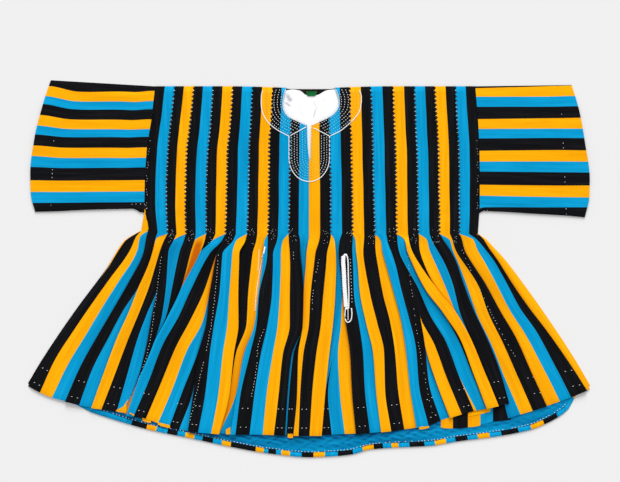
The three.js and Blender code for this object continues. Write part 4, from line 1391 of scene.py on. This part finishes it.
def hem_facing():
    """Plain blue band inside the back hem, a little rumpled and mottled, with the front skirt's shadow
    painted on it.
    """
    hem = np.linspace(FACING[0], FACING[1], FACING_COLUMNS)[None, :]
    share, depth = back_hem_run(hem)
    above = np.linspace(FACING_DEPTH, FACING_LOW, FACING_ROWS)[:, None]
    x, y = skirt_place(share, 1 - above / depth, BACK_HEM)
    wave = 0.35 * ripple(x * 1.6, y * 0.5, 9, 6) * smooth((above - 12) / 10)
    # Painted shadow of the front skirt, fading below its hem, and mottle that is stronger at the left
    below_front = np.clip(along_table(FRONT_HEM, x) - y, 0, None)
    mottle = lerp(0.75, 1.0, blotchiness(x)) * np.clip(ripple(1.4 * x, 4 * y, 8, 9) + 0.25, 0, 1)
    shadow = np.clip(np.exp(-below_front / FACING_SHADOW) + mottle, 0, 1)
    points = grid_of(x, y, LINING_TOP - 0.2 + wave)
    piece = sheet_object("hem_facing_blue", points, 0, grid_of(hem, above), [BLUE_FACING], painted_shade_and_mottle=shadow)
    return thicken(piece, FACING_CLOTH)


# Inside of the neck

# Half width of the lining at each height, and the height of its upper edge at each place across
LINING_SIDES = ((246, 12), (256, 48), (275, 72), (310, 88), (420, 88), (428, 88))
LINING_DIP = (
    (-66, 438), (-58, 438), (-40, 440), (-22, 437), (-8, 427), (8, 424), (22, 427), (44, 438), (62, 440),
    (72, 440),
)
LINING_CREASES = (
    Crease((9, 424), (11, 372), -1.5, 2.0, 3),
    Crease((17, 415), (20, 378), -0.7, 1.8, -2),
    Crease((-50, 432), (-38, 404), -1.0, 3.0, 3),
    Crease((-62, 418), (-40, 400), -0.8, 2.6),
    Crease((-26, 415), (-8, 372), 0.7, 4, 3),
    Crease((40, 420), (30, 380), -0.5, 3.5),
)

# Depth of the painted grey shade in its creases, laid out as creases
LINING_SHADOWS = (
    Crease((9, 417), (22, 385), 0.7, 1.6),
    Crease((18, 396), (9, 366), 1.1, 1.5),
    Crease((-57, 432), (-43, 408), 1.2, 5),
    Crease((-62, 411), (-42, 397), 1.1, 3),
    Crease((-36, 424), (-50, 404), 0.35, 3.0),
)
LINING_UNDER_EDGE = 6
LINING_COLUMNS = 130
LINING_ROWS = 120
LINING_BOTTOM = 246
LINING_SHOULDER = 428
LINING_TOP_Y = 440
LINING_DIP_FROM = 400
LINING_CLOTH = 0.6


def neck_lining():
    """White lining behind the neck hole, with the creases that show there and painted shade in them."""
    share = np.linspace(0, 1, LINING_COLUMNS)[None, :]
    up = np.linspace(1, 0, LINING_ROWS)[:, None]
    level = lerp(LINING_BOTTOM, LINING_TOP_Y, up)
    half = along_table(LINING_SIDES, np.minimum(level, LINING_SHOULDER))
    narrow = smooth((level - 424) / 5)
    left = lerp(-half, NECK_LEFT - LINING_UNDER_EDGE, narrow)
    right = lerp(half, NECK_RIGHT + LINING_UNDER_EDGE, narrow)
    x = lerp(left, right, share)
    dipped = (level - LINING_DIP_FROM) / (LINING_TOP_Y - LINING_DIP_FROM)
    y = np.where(dipped > 0, lerp(LINING_DIP_FROM, along_table(LINING_DIP, x), dipped), level)
    height = LINING_TOP - 0.15 + 0.25 * ripple(x, y, 18, 7) + creases(LINING_CREASES, x, y)
    height = np.clip(height, LINING_UNDERSIDE + 0.5, LINING_TOP + 1.0)
    shadow = creases(LINING_SHADOWS, x, y)
    points = grid_of(x, y, height)
    piece = sheet_object("neck_lining_white", points, 0, grid_of(y, x), [WHITE_LINING], painted_shade_and_mottle=shadow)
    return thicken(piece, LINING_CLOTH)


LABEL_AT = (6, 429.5)
LABEL_SIZE = (28, 12)
LABEL_NARROW = 0.3
LABEL_COLUMNS = 25
LABEL_ROWS = 13
LABEL_CLOTH = 0.5


def neck_label():
    """Bare woven label with a raised border."""
    across = np.linspace(-1, 1, LABEL_COLUMNS)[None, :]
    up = np.linspace(1, -1, LABEL_ROWS)[:, None]
    narrow = lerp(1 - LABEL_NARROW, 1, (up + 1) / 2)
    x = LABEL_AT[0] + across * narrow * LABEL_SIZE[0] / 2
    y = LABEL_AT[1] + up * LABEL_SIZE[1] / 2
    rim = np.maximum(np.abs(across), np.abs(up) ** 0.7)
    z = FRONT_UNDERSIDE + 0.55 + 0.25 * smooth((rim - 0.8) / 0.12) + 0.2 * np.cos(2.2 * across)
    piece = sheet_object("neck_label_green", grid_of(x, y, z), 0, grid_of(x, y), [GREEN_LABEL])
    return thicken(piece, LABEL_CLOTH)


# Threads, cords and embroidery

STITCH_SINK = 0.1
STITCH_STEPS = (0, 0.2, 0.5, 0.8, 1)
STITCH_THICKNESS = (0.45, 0.9, 1, 0.9, 0.45)
CORD_SINK = 0.5
STRAND_RELIEF = 0.12
STRAND_PITCH = 1.9


class Threads:
    """Gathers small stitches and cords into one mesh, laid on the cloth below them."""

    def __init__(self, name, cloths):
        self.name = name
        self.vertices = []
        self.faces = []
        self.kinds = []
        self.cloths = cloths
        view = bpy.context.evaluated_depsgraph_get()
        self.trees = [BVHTree.FromObject(cloth, view) for cloth in cloths]

    def top(self, x, y):
        """Height of the cloth at a place, and the number of its material."""
        best = (FRONT_UNDERSIDE + CLOTH, 0)
        found = False
        for cloth, tree in zip(self.cloths, self.trees):
            place, _, face, _ = tree.ray_cast((x * MM, y * MM, RAY_FROM), (0, 0, -1))
            if place is not None and (not found or place.z / MM > best[0]):
                best = (place.z / MM, cloth.data.polygons[face].material_index)
                found = True
        return best

    def height(self, x, y):
        return self.top(x, y)[0]

    def tube(self, path, radii, flat=1.0, sides=6, kind=0):
        """Tube along points, with a radius at each. flat presses its height, and kind is its material."""
        path = np.asarray(path, float)
        count = len(path)
        base = len(self.vertices)
        for i, point in enumerate(path):
            ahead = path[min(i + 1, count - 1)]
            behind = path[max(i - 1, 0)]
            run = ahead - behind
            length = math.hypot(run[0], run[1]) or 1
            side = np.array([-run[1], run[0], 0]) / length
            for k in range(sides):
                turn = 2 * math.pi * k / sides
                offset = side * math.cos(turn) * radii[i]
                offset[2] += math.sin(turn) * radii[i] * flat
                self.vertices.append(tuple((point + offset) * MM))
        for i in range(count - 1):
            a, b = base + i * sides, base + (i + 1) * sides
            for k in range(sides):
                following = (k + 1) % sides
                self.faces.append((a + k, a + following, b + following, b + k))
        self.faces.append(tuple(base + k for k in reversed(range(sides))))
        self.faces.append(tuple(base + (count - 1) * sides + k for k in range(sides)))
        self.kinds += [kind] * (len(self.faces) - len(self.kinds))

    def stitch(self, start, end, radius=0.5, rise=0.35, kind=0):
        """One stitch. Without a kind its thread takes on some of the colour of the cloth below."""
        (ax, ay), (bx, by) = start, end
        if kind is None:
            kind = self.top((ax + bx) / 2, (ay + by) / 2)[1]
        path = []
        for t in STITCH_STEPS:
            x, y = lerp(ax, bx, t), lerp(ay, by, t)
            path.append((x, y, self.height(x, y) + rise * math.sin(math.pi * t) - STITCH_SINK))
        self.tube(path, [radius * s for s in STITCH_THICKNESS], flat=0.8, kind=kind)

    def running(self, points, pitch=6.5, dash=0.6, radius=0.5, jitter=0, sway=0, skip=0, seed=0, kind=0):
        """Running stitch along a line of points. sway moves stitches aside, and skip leaves a share out."""
        points = np.asarray(points, float)
        far = run_along(points)
        rng = np.random.default_rng(seed)
        for k in range(int(far[-1] / pitch)):
            a = k * pitch + jitter * rng.uniform(-1, 1)
            b = a + pitch * dash
            aside = sway * rng.uniform(-1, 1)
            left_out = rng.random() < skip
            (ax, ay), (bx, by) = place_along(points, far, a), place_along(points, far, b)
            if not left_out:
                self.stitch((ax + aside, ay), (bx + aside, by), radius=radius, kind=kind)

    def cord(self, points, radius=1.3, flat=0.8, spacing=2.0):
        """Laid cord along a line of points, with small strands along it."""
        points = np.asarray(points, float)
        far = run_along(points)
        places = np.linspace(0, far[-1], max(3, int(far[-1] / spacing)))
        path = []
        for at in places:
            x, y = place_along(points, far, at)
            path.append((x, y, self.height(x, y) + radius * flat * CORD_SINK))
        radii = [radius * (1 + STRAND_RELIEF * math.sin(at * STRAND_PITCH)) for at in places]
        self.tube(path, radii, flat=flat, sides=8)

    def build(self, threads=None):
        """The finished piece, with a material for each kind of thread."""
        mesh = bpy.data.meshes.new(self.name)
        mesh.from_pydata(self.vertices, [], self.faces)
        for thread in threads or [WHITE_THREAD]:
            mesh.materials.append(thread)
        mesh.polygons.foreach_set("material_index", self.kinds)
        with changing(mesh) as work:
            face_out(work)
            for face in work.faces:
                face.smooth = True
        return add_object(self.name, mesh)


def run_along(points):
    """Distance from the start of a line to each of its points."""
    return np.concatenate([[0], np.cumsum(np.hypot(*np.diff(points, axis=0).T))])


def place_along(points, far, at):
    """Place at a distance along a line of points."""
    return np.interp(at, far, points[:, 0]), np.interp(at, far, points[:, 1])


def photo_line(points):
    """Smooth line through a few points of the photograph."""
    return smooth_line([photo_place(*p) for p in points])


def smooth_line(points, steps=12):
    """Smooth line through a few points."""
    points = np.asarray(points, float)
    keys = np.arange(len(points))
    at = np.linspace(0, len(points) - 1, (len(points) - 1) * steps + 1)
    padded = np.concatenate([[2 * points[0] - points[1]], points, [2 * points[-1] - points[-2]]])
    i = np.clip(at.astype(int), 0, len(keys) - 2)
    t = (at - i)[:, None]
    p0, p1, p2, p3 = (padded[i + k] for k in range(4))
    return 0.5 * (2 * p1 + (p2 - p0) * t + (2 * p0 - 5 * p1 + 4 * p2 - p3) * t**2
                  + (3 * p1 - p0 - 3 * p2 + p3) * t**3)


# Outlines of the embroidery beside the neck, from the shoulder down, and the slants where it ends, as points
# of the photograph
LOBES_PX = {
    -1: ((262.5, 90.5), (261.3, 97), (261.6, 108.8), (264.5, 117), (269.6, 124), (278.8, 131), (289, 136.3)),
    1: ((359.5, 90.5), (361.4, 97), (360.4, 108.8), (357, 115.5), (351, 122), (341, 130.5), (329.8, 136.3)),
}
MITRES_PX = {-1: ((289, 136.3), (306.3, 127)), 1: ((329.8, 136.3), (313.5, 128))}
PLACKET = {"left": -49, "right": 50.2, "top": 325, "bend": 272, "bottom": 214}
PLACKET_MITRE = 0.55
YOKE_TIP = (6.0, 352.0)
YOKE_ROW_PITCH = 6.6
YOKE_ROWS = 6
YOKE_FIRST_ROW = 0.75
YOKE_ROOM = 0.5
YOKE_STITCH = {"pitch": 6.2, "dash": 0.5, "radius": 0.62, "jitter": 0.4, "kind": None}
CORD_RADIUS = 1.0
NECK_CORD_RADIUS = 0.6


def placket_line(inset):
    """U-shaped line inside the placket's outline, from its left mitre round to its right one."""
    left, right = PLACKET["left"] + inset, PLACKET["right"] - inset
    centre, half = (left + right) / 2, (right - left) / 2
    depth = PLACKET["bend"] - PLACKET["bottom"] - inset
    top = PLACKET["top"] + inset * PLACKET_MITRE
    turn = np.linspace(math.pi, 2 * math.pi, 24)
    curve = np.stack([centre + half * np.cos(turn), PLACKET["bend"] + depth * np.sin(turn)], axis=-1)
    return np.concatenate([[(left, top)], curve, [(right, top)]])


def yoke(cloths):
    """White cords and rows of stitches round the neck, and down both sides of the front slit."""
    threads = Threads("yoke_embroidery", cloths)
    for neck, side in ((NECK_LEFT_CURVE, -1), (NECK_RIGHT_CURVE, 1)):
        outer = photo_line(LOBES_PX[side])
        inner = np.concatenate([bezier(neck, 40), [(side * YOKE_TIP[0], YOKE_TIP[1])]])
        far = run_along(inner)
        inner = grid_of(*place_along(inner, far, np.linspace(0, 1, len(outer)) * far[-1]))
        threads.cord(outer, radius=CORD_RADIUS)
        threads.cord(lerp(inner, outer, 0.02), radius=NECK_CORD_RADIUS)
        for row in range(YOKE_ROWS):
            share = (row + YOKE_FIRST_ROW) / (YOKE_ROWS + YOKE_ROOM)
            threads.running(lerp(inner, outer, share), seed=row, **YOKE_STITCH)
    for side in (-1, 1):
        threads.cord([photo_place(*p) for p in MITRES_PX[side]], radius=CORD_RADIUS)
    threads.cord(placket_line(0), radius=CORD_RADIUS)
    for row in range(1, YOKE_ROWS + 1):
        threads.running(placket_line(row * YOKE_ROW_PITCH), seed=20 + row, **YOKE_STITCH)
    return threads.build(THREAD_ON_STRIPES)


# Stitches near the middle leave room for the yoke: none within a place across that are above a height
SEAM_YOKE = {"within": 90, "above": 355}
OVERCAST_YOKE = {"within": 150, "above": 330}
SEAM_LEFT_OUT = 0.2
SEAM_STITCH = {"from": 2.9, "to": 0.3, "slant": 0.5}
WAIST_DOTS = 10
WAIST_DOTS_DOWN = -24
WAIST_DOTS_UP = 14
WAIST_DOTS_REACH = 17
OVERCAST_FROM = 1
OVERCAST_LENGTH = 2.9


def in_yoke(yoke_room, seam, y):
    return seam < yoke_room["within"] and y > yoke_room["above"]


def seam_stitches(cloths):
    """Small pale stitches over the folded edge of each tuck, and the bar tacks at the waist."""
    threads = Threads("seam_stitches", cloths)
    rng = np.random.default_rng(4)
    for side in (-1, 1):
        for tuck in range(1, TUCKS):
            for k in range(1, STITCHES):
                y = SHOULDER_Y - k * STITCH_PITCH
                seam = float(tuck_seam(side, tuck, y))
                if in_yoke(SEAM_YOKE, seam, y) or rng.random() < SEAM_LEFT_OUT:
                    continue
                start = (side * (seam - SEAM_STITCH["from"]), y - SEAM_STITCH["slant"])
                threads.stitch(start, (side * (seam - SEAM_STITCH["to"]), y), radius=0.5, rise=0.25)
            for dot in range(WAIST_DOTS):
                y = WAIST_Y + rng.uniform(WAIST_DOTS_DOWN, WAIST_DOTS_UP)
                seam = float(tuck_seam(side, tuck, max(y, WAIST_Y)))
                x = side * (seam - 2 - WAIST_DOTS_REACH * rng.random())
                turn = rng.uniform(-1.2, 1.2)
                threads.stitch((x, y), (x + 1.2 * turn, y - 1.5), radius=rng.uniform(0.22, 0.42))
    return threads.build()


# Lines of running stitches on the front skirt, as four points of the photograph from the top down
StitchLine = namedtuple("StitchLine", "top_px upper_px lower_px bottom_px faint")
SKIRT_STITCH_LINES = (
    StitchLine((161.8, 253.8), (155.9, 300), (148.7, 348.5), (135, 389.6), False),
    StitchLine((218.8, 254.5), (211.9, 321), (198.9, 382.7), (188, 429), False),
    StitchLine((264, 329.2), (258.3, 345), (256.3, 370), (251, 399), False),
    StitchLine((293.5, 252), (293.5, 255.5), (293.6, 259.5), (293.6, 263), False),
    StitchLine((318.9, 259.3), (315.5, 277), (312.9, 295), (312, 314.1), False),
    StitchLine((407, 250), (413.5, 304), (420.5, 355), (433.3, 419), True),
    StitchLine((462, 250), (480, 290), (500, 330), (520, 365), True),
)
POCKET_STITCH_LINE = StitchLine((350.2, 259), (351, 275), (351.6, 290), (352, 305), False)
HEM_DOTS_ABOVE = (17, 62)
HEM_DOTS_DEPTH = 480
HEM_DOT_HALF = 1.6
SHOWN_AT_HEM = 0.01


def overcast(cloths):
    """Black stitches over the folded edge of each tuck, that make it look toothed."""
    threads = Threads("overcast_stitches", cloths)
    for side in (-1, 1):
        for tuck in range(1, TUCKS):
            for k in range(OVERCAST_FROM, STITCHES):
                y = SHOULDER_Y - (k + 0.5) * STITCH_PITCH
                seam = float(tuck_seam(side, tuck, y))
                if in_yoke(OVERCAST_YOKE, seam, y):
                    continue
                threads.stitch((side * (seam - 2), y), (side * (seam + OVERCAST_LENGTH), y), radius=1.9)
    return threads.build([BLACK_THREAD])


def stitch_line(line):
    """A smooth run through the places of one stitch line of the table, from its top down."""
    return photo_line((line.top_px, line.upper_px, line.lower_px, line.bottom_px))


def skirt_stitches(cloths):
    """Running stitches down the front skirt, and pairs of dots on its black stripes above the hem."""
    threads = Threads("skirt_stitches", cloths)
    uneven = {"pitch": 7.6, "dash": 0.26, "jitter": 0.8, "sway": 0.9}
    for i, line in enumerate(SKIRT_STITCH_LINES):
        skip, radius = (0.4, 0.5) if line.faint else (0.12, 0.68)
        threads.running(stitch_line(line), radius=radius, skip=skip, seed=30 + i, **uneven)
    threads.running(stitch_line(POCKET_STITCH_LINE), pitch=8, dash=0.3, radius=0.8)
    start = stripe_places(np.array([1.0]))[0][0]
    for above in HEM_DOTS_ABOVE:
        for i, stripe in enumerate(SKIRT_STRIPES):
            if stripe.cloth != "K" or start[i + 1] - start[i] <= SHOWN_AT_HEM:
                continue
            for t in (0.3, 0.7):
                share = lerp(start[i], start[i + 1], t)
                x, y = skirt_place(share, 1 - above / HEM_DOTS_DEPTH, FRONT_HEM)
                threads.stitch((x - HEM_DOT_HALF, y), (x + HEM_DOT_HALF, y + 0.2), radius=0.55)
    return threads.build()


HEM_SEAM_ABOVE = 13
HEM_SEAM_END = 10
HEM_SEAM_POINTS = 300
DARK_STITCH_ASIDE = (4.4, -0.8)


def hem_stitches(cloths):
    """Running stitches along the turned-up back hem, pale with dark gaps between them."""
    threads = Threads("hem_stitches", cloths)
    hem = np.linspace(FACING[0] + HEM_SEAM_END, FACING[1] - HEM_SEAM_END, HEM_SEAM_POINTS)
    share, depth = back_hem_run(hem)
    line = grid_of(*skirt_place(share, 1 - HEM_SEAM_ABOVE / depth, BACK_HEM))
    uneven = {"pitch": 8, "jitter": 0.8, "sway": 0.5}
    threads.running(line, dash=0.32, radius=0.7, skip=0.08, seed=50, **uneven)
    threads.running(line + DARK_STITCH_ASIDE, dash=0.42, radius=1.0, skip=0.12, seed=51, kind=1, **uneven)
    return threads.build([WHITE_THREAD, BLACK_THREAD])


# A column of dots beside each armhole, with gaps in it
ARMHOLE_DOTS = {"top": 315, "number": 26, "pitch": 6.6, "group": 5, "gaps": (1, 2)}

# The dots near each cuff: two places across in the photograph, the height, and each dot's stripe, share of
# that stripe and radius
CuffLine = namedtuple("CuffLine", "upper_px lower_px top_y dots")
CuffDot = namedtuple("CuffDot", "stripe share radius")
CUFF_LINES = {
    -1: CuffLine(56.3, 50.6, 457, (
        CuffDot(6, 0.5, 0.6), CuffDot(9, 0.2, 0.45), CuffDot(9, 0.5, 0.8), CuffDot(9, 0.8, 0.65),
        CuffDot(12, 0.4, 0.35),
    )),
    1: CuffLine(560.5, 566.4, 445, (
        CuffDot(3, 0.5, 0.5), CuffDot(6, 0.3, 0.6), CuffDot(6, 0.7, 0.7), CuffDot(9, 0.3, 0.6),
        CuffDot(9, 0.7, 0.6), CuffDot(12, 0.2, 0.75), CuffDot(12, 0.85, 0.4),
    )),
}
CUFF_DEPTH = 313
UNDERARM_DOTS_PX = (
    (132, 204.4), (136, 204.1), (140.5, 204), (144.5, 204.4), (146.3, 208.4), (483.9, 210.9), (487.4, 210.6),
)


def sleeve_stitches(cloths):
    """Dots near the cuffs, beside the armholes and below the arms."""
    threads = Threads("sleeve_stitches", cloths)
    for side, line in CUFF_LINES.items():
        places = (LEFT_SLEEVE_AT if side < 0 else RIGHT_SLEEVE_AT)["cuff"]
        for dot in line.dots:
            down = lerp(places[dot.stripe], places[dot.stripe + 1], dot.share) / places[-1]
            x = photo_place(lerp(line.upper_px, line.lower_px, down), 0)[0]
            y = line.top_y - CUFF_DEPTH * down
            threads.stitch((x, y), (x + 0.3, y - 2.2), radius=dot.radius)
        for k in range(ARMHOLE_DOTS["number"]):
            y = ARMHOLE_DOTS["top"] - k * ARMHOLE_DOTS["pitch"]
            x = float(body_edge(side, y)) - side * (5 + 1.4 * math.sin(2.3 * k))
            if k % ARMHOLE_DOTS["group"] not in ARMHOLE_DOTS["gaps"]:
                threads.stitch((x, y), (x, y - 2.0), radius=0.42)
    for dot in UNDERARM_DOTS_PX:
        x, y = photo_place(*dot)
        threads.stitch((x - 0.8, y), (x + 0.8, y), radius=0.75)
    return threads.build()


# Embroidered edges of the pocket slits, as lines through points of the photograph
POCKET_RIGHT_PX = {
    "satin": ((343.4, 256.2), (343.1, 262), (343.8, 272), (344.3, 284), (345.0, 294), (345.9, 307)),
    "thin": ((347.2, 256.2), (348.0, 262), (348.2, 272), (348.5, 284), (348.8, 294), (348.6, 307)),
    "loop": (
        (345.4, 308), (344.9, 315), (345.8, 320.5), (348.2, 322.2), (350.9, 320), (351.9, 314), (351.4, 308),
    ),
    "spine": ((348.0, 309), (348.0, 320)),
}
POCKET_RIGHT_ENDS_PX = ((345.3, 254.6), (347.3, 309))
POCKET_BAR_PX = (356.5, 251.5)
POCKET_LEFT_PX = {
    "lip": ((265.0, 246.8), (263.9, 252), (262.4, 257.5)),
    "slit": ((262.6, 257.3), (260.4, 268), (258.2, 280), (256.4, 292), (254.9, 311)),
    "edge": ((259.2, 249.5), (258.7, 260), (258.1, 271.6)),
}
SATIN_STRANDS = 5
SATIN_PITCH = 1.9


def pockets(cloths):
    """White embroidered edges of the pocket slits."""
    threads = Threads("pocket_embroidery", cloths)
    line = {name: photo_line(points) for name, points in POCKET_RIGHT_PX.items()}
    satin, thin = line["satin"], line["thin"]
    threads.cord(satin, radius=5.2, flat=0.24)
    threads.cord(thin, radius=1.6, flat=0.6)
    for end, between in zip((0, -1), POCKET_RIGHT_ENDS_PX):
        threads.cord(smooth_line([satin[end], photo_place(*between), thin[end]]), radius=2.4, flat=0.5)
    threads.cord(line["loop"], radius=1.3)
    threads.cord(line["spine"], radius=0.9)
    for strand in range(SATIN_STRANDS):
        aside = (strand - (SATIN_STRANDS - 1) / 2) * SATIN_PITCH
        threads.cord(satin + np.array([aside, 0]), radius=0.8, flat=1.5)
    x, y = photo_place(*POCKET_BAR_PX)
    threads.stitch((x - 1, y), (x + 1, y), radius=0.9)
    line = {name: photo_line(points) for name, points in POCKET_LEFT_PX.items()}
    threads.cord(line["lip"], radius=1.9, flat=0.5)
    threads.cord(line["slit"], radius=0.7)
    threads.cord(line["edge"], radius=0.5)
    return threads.build()


# Camera, floor and light

def add_camera():
    data = bpy.data.cameras.new("camera")
    data.sensor_width = SENSOR
    data.lens = SENSOR * CAMERA_HEIGHT / FRAME_WIDTH
    data.clip_end = FARTHEST_SEEN
    camera = add_object("camera", data)
    camera.location = (CAMERA_X * MM, CAMERA_Y * MM, (CAMERA_HEIGHT + FRONT_UNDERSIDE + CLOTH) * MM)
    bpy.context.scene.camera = camera


FLOOR_HALF = 8.0
FLOOR_BELOW = 0.2


def add_floor():
    mesh = bpy.data.meshes.new("floor")
    corners = [(x * FLOOR_HALF, y * FLOOR_HALF, 0) for x, y in ((-1, -1), (1, -1), (1, 1), (-1, 1))]
    mesh.from_pydata(corners, [], [(0, 1, 2, 3)])
    mesh.materials.append(floor_material())
    floor = add_object("floor", mesh)
    floor.location.z = -FLOOR_BELOW * MM
    return floor


def add_light():
    world = bpy.data.worlds.new("studio")
    world.use_nodes = True
    background = world.node_tree.nodes["Background"]
    background.inputs["Color"].default_value = (1, 1, 1, 1)
    background.inputs["Strength"].default_value = WORLD_LIGHT
    bpy.context.scene.world = world
    data = bpy.data.lights.new("key", "SUN")
    data.energy = KEY_LIGHT
    data.angle = math.radians(KEY_SOFTNESS)
    key = add_object("key", data)
    key.rotation_euler = (math.radians(-KEY_TILT), math.radians(KEY_LEAN), 0)
    bpy.context.scene.view_settings.view_transform = "Standard"


add_camera()
add_floor()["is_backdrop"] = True
add_light()

body_left = body_front(-1)
body_right = body_front(1)
back = body_back()
left_sleeve = sleeve(-1)
right_sleeve = sleeve(1)
front_skirt = skirt_front()
back_skirt = skirt_back()
facing = hem_facing()
lining = neck_lining()
label = neck_label()

PIECES = (
    (body_left, "body_front_left", "striped_cotton", (0.411, 0.362), 0.142),
    (body_right, "body_front_right", "striped_cotton", (0.415, 0.362), 0.147),
    (back, "body_back", "striped_cotton", (0.82, 0.36), 0.29),
    (left_sleeve, "sleeve_left", "striped_cotton", (0.62, 0.29), 0.17),
    (right_sleeve, "sleeve_right", "striped_cotton", (0.62, 0.29), 0.17),
    (front_skirt, "skirt_front", "striped_cotton", (1.38, 0.50), 0.56),
    (back_skirt, "skirt_back", "striped_cotton", (1.38, 0.56), 0.60),
    (facing, "hem_facing_back", "blue_facing", (1.24, 0.082), 0.09),
    (lining, "neck_lining", "white_lining", (0.176, 0.194), 0.030),
    (label, "neck_label", "green_label", (0.03, 0.012), 0.00035),
)
for piece, node, slot, flat, area in PIECES:
    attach(piece, "root")
    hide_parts(node)

front_cloths = [body_left, body_right, front_skirt, left_sleeve, right_sleeve]
trims = [
    yoke([body_left, body_right]),
    seam_stitches([body_left, body_right, front_skirt]),
    overcast([body_left, body_right]),
    skirt_stitches([front_skirt]),
    hem_stitches([back_skirt, facing]),
    sleeve_stitches(front_cloths),
    pockets([front_skirt]),
]
for trim in trims:
    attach(trim, "root")


def plain(value):
    return [list(corner) for corner in value]


{"cad": plain(cad_box), "visual": plain(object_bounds())}
